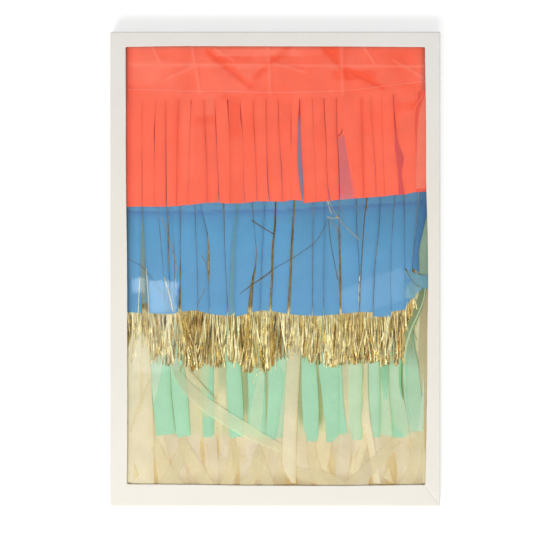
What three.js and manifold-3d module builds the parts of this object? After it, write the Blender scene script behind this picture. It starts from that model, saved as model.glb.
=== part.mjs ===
// A tissue and foil fringe garland, folded flat into a card box with a window.
// Millimetres. The box lies on its back: X runs across it, Y up its face and Z out of its window.
// The origin is at the middle of the underside.
// The garland sets every size: it is folded to and fro across the box, and the box fits round it.
import * as THREE from 'three';
import { mergeVertices } from 'three/addons/utils/BufferGeometryUtils.js';
import Module from 'manifold-3d';

const wasm = await Module();
wasm.setup();

// Folded garland
const panelWidth = 228; // from fold to fold
const panels = 12; // layers of folded garland, one on another
const sheet = 0.15; // tissue and foil, drawn thicker than it is
const layerGap = 0.1; // between one colour's sheet and the next
const foldGap = 0.14; // between one folded panel and the next
const foldSteps = 4; // flats in each half turn of a fold

// Drops, each measured from the one above it
const headerDrop = 38; // top fold to stitch line
const coralShow = 84;
const blueShow = 79.5;
const goldShow = 40.5;
const mintShow = 50.5;
const creamShow = 34.5;

// Header
const headerHem = 4; // the coral's turned-over back ends this far below the stitching
const tapeWidth = 6;
const tapeThickness = 0.4;
const tapeSlack = 0.3; // round the tape inside the header
const threadWidth = 0.5;
const threadThickness = 0.2;
const threadInset = 3; // from the panel's sides
const stitchRise = 7.5; // how far the stitch line climbs at the free end
const stitchRisePower = 5; // how late along the panel it climbs

// Fringe
const slitStart = 6; // below the stitching
const slitTop = 0.25; // width of a slit at its top
const stripPitch = 9.2;
const mintStripPitch = 16.5;
const coralSkew = 11; // how much shorter the coral is at the free end
const coralRagged = 1.5;
const blueRagged = 4;
const mintRagged = 5;
const creamRagged = 6;
const goldRagged = 10;
const strandPitch = 0.75;
const strandGap = 0.25;
const strandLength = 50;

// Box
const card = 0.6;
const lidSlack = 0.4; // between the tray and the lid round it
const lidFoot = 2; // the lid's walls stop this far above the underside
const foldRadius = 1; // outside radius of the upright edges
const glueFlap = 12; // the long walls' end flaps, glued inside the short walls
const sideRoom = 4.4; // garland to tray, at the folds
const headRoom = 3; // garland to tray, at the header
const footRoom = 10.6; // garland to tray, at the loose ends
const threadRoom = 0.1; // stitching to window film

// Window
const leftRail = 11;
const rightRail = 10.5;
const topRail = 10.5;
const bottomRail = 15.5;
const windowCorner = 1;
const windowBow = 1.8; // the free right edge bows outward this much at its middle
const film = 0.2;
const filmMargin = 6; // glued under the lid's face

// How many flats stand for a rounded corner or the bowed edge, and for the stitch line
const curveSteps = 4;
const stitchSteps = 24;

// Where each colour's slits lie, as shares of the strip pitch beside an even spacing,
// how wide each slit is at its foot, as shares of the pitch, and how far each strip stops short
// of the longest, as shares of the colour's raggedness.
const coralPlaceShares = [0, -0.2, -0.1, -0.25, -0.3, -0.2, -0.15, -0.3, -0.35, -0.3, -0.3, -0.35,
  -0.4, -0.35, -0.7, -0.6, -0.75, -0.7, -0.5, 0.1, -0.1, -0.3, -0.35, -0.55];
const coralGapShares = [0.04, 0.08, 0.05, 0.07, 0.1, 0.05, 0.08, 0.05, 0.09, 0.06, 0.1, 0.06,
  0.05, 0.12, 0.4, 0.08, 0.06, 0.14, 0.1, 0.12, 0.05, 0.06, 0.08, 0.16];
const coralEndShares = [0, 0.2, 0.1, 0.4, 0.6, 0.3, 0.9, 0.5, 0.2, 0.6, 0.8, 0.4, 0.7];
const bluePlaceShares = [0, -0.14, -0.1, -0.2, -0.14, 0, 0.15, 0.1, 0.28, 0.5, 0.5, 0.3,
  0.6, 0.6, 0.6, 0.3, 0, 0.05, 0.13, 0, -0.1, 0.1, 0, -0.1];
const blueGapShares = [0.06, 0.16, 0.05, 0.14, 0.2, 0.05, 0.22, 0.06, 0.22, 0.38, 0.05, 0.24,
  0.28, 0.05, 0.06, 0.08, 0.32, 0.06, 0.22, 0.07, 0.05, 0.1, 0.06, 0.2];
const blueEndShares = [0.4, 0.9, 0.6, 0.5, 0.7, 0.3, 0.8, 1, 0.4, 0.6, 0.2, 0.5, 0.7, 0];
const mintPlaceShares = [-0.15, 0.31, 0.42, 0.45, 0.59, 0.52, 0.71, 0.84, 1.07, 0.93, 0.61, 0, -0.39];
const mintGapShares = [1.05, 0.03, 0.53, 0.48, 0.13, 0.03, 0.58, 0.09, 0.18, 0.31, 0.18, 0.03, 0.03];
const mintEndShares = [1, 0.6, 0.2, 0.3, 0.1, 0.2, 0, 0.1, 0.4, 0.2, 0.7, 0.9];
const creamPlaceShares = [0.1, -0.2, 0.05, 0.2, -0.1, 0, 0.15, -0.15];
const creamGapShares = [0.06, 0.1, 0.05, 0.14, 0.07];
const creamEndShares = [0, 0.3, 0.8, 0.1, 0.5, 1, 0.2];
const strandEndShares = [0.1, 0.45, 0.3, 0.7, 0.2, 0.55, 0.9, 0.35, 0.6, 0.05, 0.8, 0.4, 0.65];

// The layers of one panel, from its front to its back. The coral comes round the header to the back.
const layerOrder = ['coral', 'blue', 'gold', 'mint', 'cream', 'coralBack'];
const slots = Object.fromEntries(layerOrder.map((layer, place) => [layer, place]));
const lastSlot = slots.coralBack;
const middleSlot = lastSlot / 2;

// Sizes that follow
const layerPitch = sheet + layerGap;
const headerThickness = lastSlot * layerPitch + sheet;
const foldPitch = headerThickness + foldGap;
const stackHeight = (panels - 1) * foldPitch + headerThickness;
const freeEnd = panelWidth / 2;
const widestFold = (foldPitch + lastSlot * layerPitch + sheet) / 2;
const foldStart = freeEnd - widestFold;
const tapeTop = sheet + tapeSlack;
const innerTop = tapeTop + tapeWidth + tapeSlack;
const coralDrop = headerDrop + coralShow;
const blueDrop = coralDrop + blueShow;
const goldDrop = blueDrop + goldShow;
const mintDrop = goldDrop + mintShow;
const creamDrop = mintDrop + creamShow;
const trayWidth = panelWidth + 2 * (sideRoom + card);
const trayLength = creamDrop + headRoom + footRoom + 2 * card;
const boxWidth = trayWidth + 2 * (lidSlack + card);
const boxLength = trayLength + 2 * (card + lidSlack + card);
const trayHeight = card + stackHeight + threadThickness + threadRoom + film;
const boxDepth = trayHeight + card;
const headerTop = trayLength / 2 - card - headRoom;
const frontHeight = card + stackHeight;
const cut = foldGap / 2; // how far a cut runs past the sheet that it cuts

// Materials, by what each piece is made of
function finish(color, roughness, metalness = 0) {
  return new THREE.MeshStandardMaterial({ color, roughness, metalness });
}

const materials = {
  whiteCard: finish(0xe9e5da, 0.8),
  clearFilm: new THREE.MeshStandardMaterial({ color: 0xf4f6f6, roughness: 0.08, transparent: true, opacity: 0.2 }),
  coralTissue: finish(0xfa6e5a, 0.85),
  blueTissue: finish(0x5f9bc8, 0.85),
  goldFoil: finish(0xb99650, 0.25, 0.9),
  mintTissue: finish(0xa8debe, 0.85),
  creamTissue: finish(0xe7d8b4, 0.85),
  coralThread: finish(0xff8f78, 0.7),
  whiteTape: finish(0xf2eee6, 0.85),
};

// A closed geometry as a solid that can be cut, and back again
function toSolid(geometry) {
  geometry.deleteAttribute('normal');
  geometry.deleteAttribute('uv');
  const merged = mergeVertices(geometry);
  const vertProperties = new Float32Array(merged.attributes.position.array);
  const triVerts = new Uint32Array(merged.index.array);
  return new wasm.Manifold(new wasm.Mesh({ numProp: 3, vertProperties, triVerts }));
}

function toGeometry(solid) {
  const mesh = solid.getMesh();
  const geometry = new THREE.BufferGeometry();
  geometry.setAttribute('position', new THREE.BufferAttribute(mesh.vertProperties, 3));
  geometry.setIndex(new THREE.BufferAttribute(mesh.triVerts, 1));
  geometry.computeVertexNormals();
  return geometry;
}

// An outline in X and Y, standing from one height to another
function upright(shape, low, high) {
  const options = { depth: high - low, bevelEnabled: false, curveSegments: curveSteps };
  return new THREE.ExtrudeGeometry(shape, options).translate(0, 0, low);
}

// A rectangle about the middle of the box with rounded corners
function roundedRectangle(width, length, radius) {
  const x = width / 2;
  const y = length / 2;
  const shape = new THREE.Shape();
  shape.moveTo(-x + radius, -y);
  shape.lineTo(x - radius, -y);
  shape.absarc(x - radius, -y + radius, radius, -Math.PI / 2, 0, false);
  shape.lineTo(x, y - radius);
  shape.absarc(x - radius, y - radius, radius, 0, Math.PI / 2, false);
  shape.lineTo(-x + radius, y);
  shape.absarc(-x + radius, y - radius, radius, Math.PI / 2, Math.PI, false);
  shape.lineTo(-x, -y + radius);
  shape.absarc(-x + radius, -y + radius, radius, Math.PI, Math.PI * 3 / 2, false);
  return shape;
}

// The window, or the film that covers it with a margin all round. Its right edge bows outward.
function windowShape(margin) {
  const left = -boxWidth / 2 + leftRail - margin;
  const right = boxWidth / 2 - rightRail + margin;
  const top = boxLength / 2 - topRail + margin;
  const bottom = -boxLength / 2 + bottomRail - margin;
  const r = windowCorner;
  const shape = new THREE.Shape();
  shape.moveTo(left + r, bottom);
  shape.lineTo(right - r, bottom);
  shape.absarc(right - r, bottom + r, r, -Math.PI / 2, 0, false);
  shape.quadraticCurveTo(right + 2 * windowBow, (top + bottom) / 2, right, top - r);
  shape.absarc(right - r, top - r, r, 0, Math.PI / 2, false);
  shape.lineTo(left + r, top);
  shape.absarc(left + r, top - r, r, Math.PI / 2, Math.PI, false);
  shape.lineTo(left, bottom + r);
  shape.absarc(left + r, bottom + r, r, Math.PI, Math.PI * 3 / 2, false);
  return shape;
}

// The four glue flaps of a tray or lid: the long walls' ends, folded inside its short walls.
// Each runs half a card into the walls that it is glued to.
function glueFlaps(insideWidth, insideLength, low, high) {
  const sunk = card / 2;
  const length = glueFlap + sunk;
  const thickness = card + sunk;
  const flaps = [];
  for (const sideX of [-1, 1]) {
    for (const sideY of [-1, 1]) {
      const flap = new THREE.BoxGeometry(length, thickness, high - low);
      const x = sideX * (insideWidth / 2 + sunk - length / 2);
      const y = sideY * (insideLength / 2 + sunk - thickness / 2);
      flaps.push(toSolid(flap.translate(x, y, (low + high) / 2)));
    }
  }
  return wasm.Manifold.union(flaps);
}

function baseTray() {
  const insideWidth = trayWidth - 2 * card;
  const insideLength = trayLength - 2 * card;
  const block = toSolid(upright(roundedRectangle(trayWidth, trayLength, foldRadius), 0, trayHeight));
  const hollow = roundedRectangle(insideWidth, insideLength, foldRadius - card);
  const tray = block.subtract(toSolid(upright(hollow, card, trayHeight + card)));
  const flaps = glueFlaps(insideWidth, insideLength, card / 2, trayHeight);
  return toGeometry(tray.add(flaps));
}

function lidFrame() {
  const insideWidth = boxWidth - 2 * card;
  const insideLength = boxLength - 2 * card;
  const under = boxDepth - card;
  const block = toSolid(upright(roundedRectangle(boxWidth, boxLength, foldRadius), lidFoot, boxDepth));
  const hollow = roundedRectangle(insideWidth, insideLength, foldRadius - card);
  const shell = block.subtract(toSolid(upright(hollow, lidFoot - card, under)));
  const framed = shell.subtract(toSolid(upright(windowShape(0), under - card, boxDepth + card)));
  const flaps = glueFlaps(insideWidth, insideLength, lidFoot, under + card / 2);
  return toGeometry(framed.add(flaps));
}

function windowFilm() {
  return upright(windowShape(filmMargin), trayHeight - film, trayHeight);
}

// The height of a layer's middle in a panel, from the front panel's first layer down.
// The order of the layers turns over at every fold.
function layerHeight(panel, slot) {
  const order = panel % 2 === 0 ? slot : lastSlot - slot;
  return -(panel * foldPitch + order * layerPitch);
}

// One face of a folded sheet, seen end on: straight panels joined by half turns.
// It starts at the free end on the right, and the first fold is on the left.
function sheetFace(slot, offset) {
  const points = [new THREE.Vector2(freeEnd, layerHeight(0, slot) + offset)];
  for (let panel = 0; panel < panels - 1; panel += 1) {
    const side = panel % 2 === 0 ? 1 : -1;
    const above = layerHeight(panel, slot);
    const below = layerHeight(panel + 1, slot);
    const radius = (above - below) / 2 + side * offset;
    for (let step = 0; step <= foldSteps; step += 1) {
      const angle = Math.PI * (step / foldSteps + 1 / 2);
      const x = side * (radius * Math.cos(angle) - foldStart);
      points.push(new THREE.Vector2(x, (above + below) / 2 + radius * Math.sin(angle)));
    }
  }
  const lastSide = panels % 2 === 0 ? 1 : -1;
  const lastHeight = layerHeight(panels - 1, slot) - lastSide * offset;
  points.push(new THREE.Vector2(lastSide * freeEnd, lastHeight));
  return points;
}

// A folded sheet of one thickness, from one drop below the header's top to another
function foldedSheet(slot, thickness, fromDrop, toDrop) {
  const front = sheetFace(slot, thickness / 2);
  const back = sheetFace(slot, -thickness / 2);
  const shape = new THREE.Shape(front.concat(back.reverse()));
  const geometry = new THREE.ExtrudeGeometry(shape, { depth: toDrop - fromDrop, bevelEnabled: false });
  geometry.rotateX(Math.PI / 2);
  return geometry.translate(0, headerTop - fromDrop, frontHeight - sheet / 2);
}

// How far the stitch line and the slits' tops climb at a place across the panel
function stitchClimb(x) {
  const share = (x + freeEnd) / panelWidth;
  return stitchRise * share ** stitchRisePower;
}

// What is cut from the front panel of a sheet: a slit between each strip and the next,
// and all that lies below the strips' uneven ends.
function fringeCutter({ slot, drop, skew = 0, ragged, slitDrop, pitch, placeShares, gapShares, endShares }) {
  const top = headerTop - drop;
  const endAt = (x, strip) => {
    const share = (x + foldStart) / (freeEnd + foldStart);
    return top + skew * share + ragged * endShares[strip % endShares.length];
  };
  const count = Math.floor(panelWidth / pitch);
  const below = top - card;
  const points = [new THREE.Vector2(-foldStart, below)];
  points.push(new THREE.Vector2(-foldStart, endAt(-foldStart, 0)));
  for (let i = 0; i < count; i += 1) {
    const x = -freeEnd + pitch * (i + 1 + placeShares[i % placeShares.length]);
    const foot = pitch * gapShares[i % gapShares.length] / 2;
    const apex = headerTop - slitDrop + stitchClimb(x);
    points.push(new THREE.Vector2(x - foot, endAt(x - foot, i)));
    points.push(new THREE.Vector2(x - slitTop / 2, apex));
    points.push(new THREE.Vector2(x + slitTop / 2, apex));
    points.push(new THREE.Vector2(x + foot, endAt(x + foot, i + 1)));
  }
  points.push(new THREE.Vector2(freeEnd + card, endAt(freeEnd, count)));
  points.push(new THREE.Vector2(freeEnd + card, below));
  const middle = frontHeight - sheet / 2 - slot * layerPitch;
  const reach = sheet / 2 + cut;
  return toSolid(upright(new THREE.Shape(points), middle - reach, middle + reach));
}

// A colour's sheet with its front panel cut into strips
function fringe(cuts) {
  const whole = toSolid(foldedSheet(cuts.slot, sheet, innerTop, cuts.drop));
  return toGeometry(whole.subtract(fringeCutter(cuts)));
}

const slitDrop = headerDrop + slitStart;

// The coral goes over the top of the header and down its back, round the tape and the other layers
function coralFringe() {
  const front = toSolid(foldedSheet(slots.coral, sheet, 0, coralDrop));
  const back = toSolid(foldedSheet(slots.coralBack, sheet, 0, headerDrop + headerHem));
  const overTop = toSolid(foldedSheet(middleSlot, headerThickness, 0, sheet));
  const cutter = fringeCutter({
    slot: slots.coral,
    drop: coralDrop,
    skew: coralSkew,
    ragged: coralRagged,
    slitDrop,
    pitch: stripPitch,
    placeShares: coralPlaceShares,
    gapShares: coralGapShares,
    endShares: coralEndShares,
  });
  return toGeometry(front.subtract(cutter).add(back).add(overTop));
}

function blueFringe() {
  return fringe({
    slot: slots.blue,
    drop: blueDrop,
    ragged: blueRagged,
    slitDrop,
    pitch: stripPitch,
    placeShares: bluePlaceShares,
    gapShares: blueGapShares,
    endShares: blueEndShares,
  });
}

function mintFringe() {
  return fringe({
    slot: slots.mint,
    drop: mintDrop,
    ragged: mintRagged,
    slitDrop,
    pitch: mintStripPitch,
    placeShares: mintPlaceShares,
    gapShares: mintGapShares,
    endShares: mintEndShares,
  });
}

function creamFringe() {
  return fringe({
    slot: slots.cream,
    drop: creamDrop,
    ragged: creamRagged,
    slitDrop,
    pitch: stripPitch,
    placeShares: creamPlaceShares,
    gapShares: creamGapShares,
    endShares: creamEndShares,
  });
}

// The foil's strands are cut from its front panel below the blue, and its sheet backs them above
function goldFoilFringe() {
  return fringe({
    slot: slots.gold,
    drop: goldDrop,
    ragged: goldRagged,
    slitDrop: goldDrop - strandLength,
    pitch: strandPitch,
    placeShares: [0],
    gapShares: [strandGap / strandPitch],
    endShares: strandEndShares,
  });
}

// A flat tape through the top of the header, by which the garland is strung up
function hangingTape() {
  return foldedSheet(middleSlot, tapeThickness, tapeTop, tapeTop + tapeWidth);
}

// The line of stitching on the front panel, lying on the coral
function stitchThread() {
  const upper = [];
  const lower = [];
  for (let i = 0; i <= stitchSteps; i += 1) {
    const x = -foldStart + threadInset + (foldStart + freeEnd - 2 * threadInset) * i / stitchSteps;
    const y = headerTop - headerDrop + stitchClimb(x);
    upper.push(new THREE.Vector2(x, y + threadWidth / 2));
    lower.push(new THREE.Vector2(x, y - threadWidth / 2));
  }
  const shape = new THREE.Shape(upper.concat(lower.reverse()));
  return upright(shape, frontHeight, frontHeight + threadThickness);
}

const garlandBox = new THREE.Group();

function addPiece(name, geometry, material) {
  const mesh = new THREE.Mesh(geometry, material);
  mesh.name = name;
  garlandBox.add(mesh);
}

addPiece('base_tray', baseTray(), materials.whiteCard);
addPiece('lid_frame', lidFrame(), materials.whiteCard);
addPiece('window_film', windowFilm(), materials.clearFilm);
addPiece('coral_fringe', coralFringe(), materials.coralTissue);
addPiece('blue_fringe', blueFringe(), materials.blueTissue);
addPiece('gold_foil_fringe', goldFoilFringe(), materials.goldFoil);
addPiece('mint_fringe', mintFringe(), materials.mintTissue);
addPiece('cream_fringe', creamFringe(), materials.creamTissue);
addPiece('hanging_tape', hangingTape(), materials.whiteTape);
addPiece('stitch_thread', stitchThread(), materials.coralThread);

export default garlandBox;
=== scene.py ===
import math
import random

import bmesh
import bpy
import numpy as np
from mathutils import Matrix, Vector, noise
from mathutils.geometry import delaunay_2d_cdt


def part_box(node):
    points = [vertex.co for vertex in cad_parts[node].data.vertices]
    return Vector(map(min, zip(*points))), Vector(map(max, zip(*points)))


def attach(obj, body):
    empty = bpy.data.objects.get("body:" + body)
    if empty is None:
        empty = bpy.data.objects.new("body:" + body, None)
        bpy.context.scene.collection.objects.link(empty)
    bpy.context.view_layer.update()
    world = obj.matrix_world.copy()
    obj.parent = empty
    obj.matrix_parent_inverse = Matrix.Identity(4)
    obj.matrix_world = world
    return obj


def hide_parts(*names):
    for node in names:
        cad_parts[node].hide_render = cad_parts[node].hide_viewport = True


# A tissue and foil fringe garland in its window box: card, film, folded fringe, stitching and light.
# Shapes are worked out in millimetres in the part's own frame, and become metres when a mesh is made.
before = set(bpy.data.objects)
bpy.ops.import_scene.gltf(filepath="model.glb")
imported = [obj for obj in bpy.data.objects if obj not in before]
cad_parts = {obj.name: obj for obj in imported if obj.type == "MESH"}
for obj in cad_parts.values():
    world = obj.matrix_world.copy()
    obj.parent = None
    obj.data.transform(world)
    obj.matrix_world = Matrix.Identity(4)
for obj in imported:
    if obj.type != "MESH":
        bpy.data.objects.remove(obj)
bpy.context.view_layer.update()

MM = 0.001
SEED = 20


def box_mm(node):
    low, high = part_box(node)
    return np.array(low) / MM, np.array(high) / MM


tray_low, tray_high = box_mm("base_tray")
lid_low, lid_high = box_mm("lid_frame")
film_low, film_high = box_mm("window_film")
coral_low, coral_high = box_mm("coral_fringe")
blue_low, blue_high = box_mm("blue_fringe")
gold_low, mint_low, cream_low = (box_mm(f"{colour}_fringe")[0] for colour in ("gold_foil", "mint", "cream"))
tape_low, tape_high = box_mm("hanging_tape")

# The folded garland. Its layers are numbered from the front, and the coral comes round again at the back
PANELS = 12
SHEET = 0.15
HEADER_TOP = coral_high[1]
FREE_END = coral_high[0]
STACK_TOP = coral_high[2]
STACK_FLOOR = coral_low[2]
LAYER_PITCH = coral_high[2] - blue_high[2]
CORAL_SLOT, BLUE_SLOT, GOLD_SLOT, MINT_SLOT, CREAM_SLOT, BACK_SLOT = range(6)
HEADER_THICKNESS = BACK_SLOT * LAYER_PITCH + SHEET
FOLD_PITCH = (STACK_TOP - STACK_FLOOR - HEADER_THICKNESS) / (PANELS - 1)
FOLD_START = FREE_END - (FOLD_PITCH + HEADER_THICKNESS) / 2
STITCH_DROP = 38
SLIT_DROP = STITCH_DROP + 6
OUTER_TOP = 0.6
INNER_TOP = HEADER_TOP - blue_high[1]
STITCH_RISE = 7.5
STITCH_RISE_POWER = 5

# Lengths along the garland from its free end: the front panel, a turn, and each panel after it
FIRST_RUN = FREE_END + FOLD_START
FLAT_RUN = 2 * FOLD_START
TURN_RUN = math.pi * FOLD_PITCH / 2
CELL_RUN = TURN_RUN + FLAT_RUN
WHOLE_RUN = FIRST_RUN * 2 + FLAT_RUN * (PANELS - 2) + TURN_RUN * (PANELS - 1)

# The front panel lies loosely, and the panels under it are pressed together to make room for that
FRONT_FLOOR = STACK_TOP - FOLD_PITCH
PRESSED_FLOOR = FRONT_FLOOR - 1.5
PRESSED_TOP = STACK_TOP - 0.3
# Where the stack starts to sink towards its left and right folds, over what run, and by what share
LEFT_SINK, RIGHT_SINK = (-100, 12, 0.085), (103, 9, 0.06)
# The feet of the folded strips curl up towards the panel above, from this height down
FOOT_CURL, CURL_FROM, CURL_RUN = 2.05, -112, 44
# How near the garland comes to the film: a sheet, and a strand or a stitch
FILM_UNDER = film_low[2]
SHEET_CEILING = FILM_UNDER - 0.06
STRAND_CEILING = FILM_UNDER - 0.02


def drop_of(low):
    """How far a fringe reaches down from the top of the header."""
    return HEADER_TOP - low[1]


def smooth(t):
    t = np.clip(t, 0, 1)
    return t * t * (3 - 2 * t)


def mixed(first, second, share):
    """From the first colour to the second, by a share at each point."""
    share = np.asarray(share)[..., None]
    return np.asarray(first) * (1 - share) + np.asarray(second) * share


def curve(at, places, values):
    """A smooth curve through values at rising places, held level past both ends."""
    places, values = np.asarray(places, float), np.asarray(values, float)
    if len(places) == 1:
        return np.full(np.shape(at), values[0])
    slopes = np.gradient(values, places)
    at = np.clip(at, places[0], places[-1])
    k = np.clip(np.searchsorted(places, at, side="right") - 1, 0, len(places) - 2)
    step = places[k + 1] - places[k]
    t = (at - places[k]) / step
    return (
        values[k] * (1 + 2 * t) * (1 - t) ** 2
        + slopes[k] * step * t * (1 - t) ** 2
        + values[k + 1] * t * t * (3 - 2 * t)
        + slopes[k + 1] * step * t * t * (t - 1)
    )


def roughly(x, y, size, seed):
    """Even noise from -1 to 1 over the plane, with features of about size."""
    flat = [noise.noise(Vector((a / size, b / size, seed))) for a, b in zip(np.ravel(x), np.ravel(y))]
    return np.array(flat).reshape(np.shape(x))


def crumple(x, y, low, high, size, seed):
    """Heights from -1 to 1 of a crumpled sheet: flat facets of about size that meet in sharp creases."""
    chance = random.Random(SEED + seed)
    corners = []
    for column in range(int((high[0] - low[0]) / size) + 3):
        for row in range(int((high[1] - low[1]) / size) + 3):
            corner_x = low[0] + (column - 0.5 + chance.uniform(-0.45, 0.45)) * size
            corner_y = low[1] + (row - 0.5 + chance.uniform(-0.45, 0.45)) * size
            corners.append(Vector((corner_x, corner_y)))
    heights = np.array([chance.uniform(-1, 1) for _ in corners])
    found = delaunay_2d_cdt(corners, [], [], 0, 1e-6)
    corners = np.array([tuple(corner) for corner in found[0]])
    shown = np.zeros(np.shape(x))
    for triangle in found[2]:
        a, b, c = corners[list(triangle)]
        span = (b[0] - a[0]) * (c[1] - a[1]) - (c[0] - a[0]) * (b[1] - a[1])
        to_b = ((x - a[0]) * (c[1] - a[1]) - (c[0] - a[0]) * (y - a[1])) / span
        to_c = ((b[0] - a[0]) * (y - a[1]) - (x - a[0]) * (b[1] - a[1])) / span
        inside = (to_b >= 0) & (to_c >= 0) & (to_b + to_c <= 1)
        first, second, third = heights[list(triangle)]
        facet = first + (second - first) * to_b + (third - first) * to_c
        shown = np.where(inside, facet, shown)
    return shown


# Meshes

class Cloth:
    """Grids of points in millimetres, gathered into one mesh with a tint at each point.

    Slot is the layer of a fringe."""

    def __init__(self, name, materials, slot=None):
        self.name, self.materials, self.slot = name, materials, slot
        self.points, self.faces, self.tints, self.kinds = [], [], [], []
        self.count = 0

    def grid(self, points, tint=1, kind=0):
        """Adds a grid, tinted as a whole or at each point. Kind picks one of the materials."""
        rows, columns = points.shape[:2]
        here = self.count + np.arange(rows * columns).reshape(rows, columns)
        quads = np.stack([here[:-1, :-1], here[1:, :-1], here[1:, 1:], here[:-1, 1:]], axis=-1)
        self.points.append(points.reshape(-1, 3))
        self.faces.append(quads.reshape(-1, 4))
        self.tints.append(np.broadcast_to(np.asarray(tint, float), points.shape).reshape(-1, 3))
        self.kinds.append(np.full(quads.size // 4, kind, np.int32))
        self.count += rows * columns

    def make(self):
        points, faces = np.concatenate(self.points), np.concatenate(self.faces)
        mesh = bpy.data.meshes.new(self.name)
        mesh.vertices.add(len(points))
        mesh.vertices.foreach_set("co", (points * MM).astype(np.float32).ravel())
        mesh.loops.add(faces.size)
        mesh.loops.foreach_set("vertex_index", faces.astype(np.int32).ravel())
        mesh.polygons.add(len(faces))
        mesh.polygons.foreach_set("loop_start", np.arange(0, faces.size, 4, dtype=np.int32))
        mesh.polygons.foreach_set("material_index", np.concatenate(self.kinds))
        mesh.polygons.foreach_set("use_smooth", np.ones(len(faces), bool))
        mesh.update(calc_edges=True)
        colours = np.pad(np.concatenate(self.tints), ((0, 0), (0, 1)), constant_values=1)
        attribute = mesh.attributes.new("tint", "FLOAT_COLOR", "POINT")
        attribute.data.foreach_set("color", colours.astype(np.float32).ravel())
        mesh.validate()
        for material in self.materials:
            mesh.materials.append(material)
        piece = bpy.data.objects.new(self.name, mesh)
        bpy.context.scene.collection.objects.link(piece)
        return piece


SAME_PLACE = 1e-7


def merged(piece, closed=False):
    """Joins the points of a piece that lie in the same place, and can close its holes."""
    mesh = bmesh.new()
    mesh.from_mesh(piece.data)
    bmesh.ops.remove_doubles(mesh, verts=mesh.verts, dist=SAME_PLACE)
    if closed:
        bmesh.ops.holes_fill(mesh, edges=[edge for edge in mesh.edges if edge.is_boundary])
    bmesh.ops.recalc_face_normals(mesh, faces=mesh.faces)
    mesh.to_mesh(piece.data)
    mesh.free()
    return piece


# Folding

def layer_height(panel, slot):
    order = np.where(panel % 2 == 0, slot, BACK_SLOT - slot)
    return STACK_TOP - SHEET / 2 - panel * FOLD_PITCH - order * LAYER_PITCH


folds = random.Random(SEED)
FOLD_SHORT = np.array([folds.uniform(0, 1.1) for _ in range(PANELS)])
PANEL_SLIP = np.array([0] + [folds.uniform(-0.9, 0.9) for _ in range(PANELS)])


def fold_place(along, slot):
    """X, Z and the slip in Y of a place along the garland, in one of its layers."""
    beyond = along - FIRST_RUN
    turn = np.clip(np.floor(beyond / CELL_RUN), -1, PANELS - 2)
    into = beyond - turn * CELL_RUN
    side = np.where(turn % 2 == 0, -1, 1)
    above, below = layer_height(turn, slot), layer_height(turn + 1, slot)
    angle = np.clip(into / TURN_RUN, 0, 1) * math.pi
    radius = (above - below) / 2
    x = side * (FOLD_START - np.maximum(into - TURN_RUN, 0) + radius * np.sin(angle))
    z = np.where(into < TURN_RUN, (above + below) / 2 + radius * np.cos(angle), below)
    first = turn < 0
    x = np.where(first, FREE_END - along, x)
    z = np.where(first, layer_height(0, slot), z)
    index = turn.astype(int)
    started = np.where(first, 0, side * FOLD_SHORT[np.maximum(index, 0)])
    ended = np.where(first, -FOLD_SHORT[0], -side * FOLD_SHORT[np.minimum(index + 1, PANELS - 1)])
    share = np.where(first, along / FIRST_RUN, np.clip((into - TURN_RUN) / FLAT_RUN, 0, 1))
    ended = np.where(index == PANELS - 2, 0, ended)
    x = x - (started * (1 - share) + ended * share)
    turned = (1 - np.cos(angle)) / 2
    slip = PANEL_SLIP[index] * (1 - turned) + PANEL_SLIP[index + 1] * turned
    return x, z, np.where(first, 0, slip)


def settle(x, z):
    """The stack pressed down by the film, and sinking towards its folds."""
    z = np.interp(z, [STACK_FLOOR, FRONT_FLOOR, STACK_TOP], [STACK_FLOOR, PRESSED_FLOOR, PRESSED_TOP])
    left = smooth((LEFT_SINK[0] - x) / LEFT_SINK[1]) * LEFT_SINK[2]
    right = smooth((x - RIGHT_SINK[0]) / RIGHT_SINK[1]) * RIGHT_SINK[2]
    return STACK_FLOOR + (z - STACK_FLOOR) * (1 - left - right)


def turn_samples(start, end, step):
    """Places along the garland from start to end, close together where it turns."""
    places = set(np.linspace(start, end, max(2, int((end - start) / step) + 1)))
    for turn in range(PANELS - 1):
        for share in np.linspace(0, 1, 9):
            place = FIRST_RUN + turn * CELL_RUN + share * TURN_RUN
            if start < place < end:
                places.add(place)
    return np.array(sorted(places))


def folded_grid(cloth, along, slots, drops, tint=1):
    """A grid folded up with the garland, from places along it, layers and drops."""
    along, slots, drops = np.broadcast_arrays(along, slots, drops)
    x, z, slip = fold_place(along, slots)
    y = HEADER_TOP - drops + slip
    z = settle(x, z) + FOOT_CURL * smooth((CURL_FROM - y) / CURL_RUN)
    cloth.grid(np.stack([x, y, z], axis=-1), tint)


def folded_strip(cloth, along, drops, lean=0.0, tint=1):
    """A strip of the folded part, between places along the garland and down the given drops."""
    share = (drops - drops[0]) / (drops[-1] - drops[0] + 1e-9)
    along = np.minimum(along + lean * share[:, None], WHOLE_RUN)
    folded_grid(cloth, along, cloth.slot, drops[:, None], tint)


STRIP_PITCH, STRIP_GAP = 9.2, 0.3


def folded_part(cloth, end_drop, ragged, seed, top_drop=INNER_TOP):
    """The panels behind the front one: an uncut header, and strips below it."""
    chance = random.Random(SEED + seed)
    folded_strip(cloth, turn_samples(FIRST_RUN, WHOLE_RUN, 12), np.linspace(top_drop, SLIT_DROP, 4))
    place = FIRST_RUN
    while place < WHOLE_RUN - STRIP_GAP:
        end = min(place + STRIP_PITCH * chance.uniform(0.85, 1.15), WHOLE_RUN)
        drops = np.linspace(SLIT_DROP, end_drop - ragged * chance.random(), 7)
        tone = chance.uniform(0.93, 1.0)
        samples = turn_samples(place, max(end - STRIP_GAP, place + STRIP_GAP), 4.5)
        folded_strip(cloth, samples, drops, chance.uniform(-0.8, 0.8), tone)
        place = end


# Materials

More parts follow.
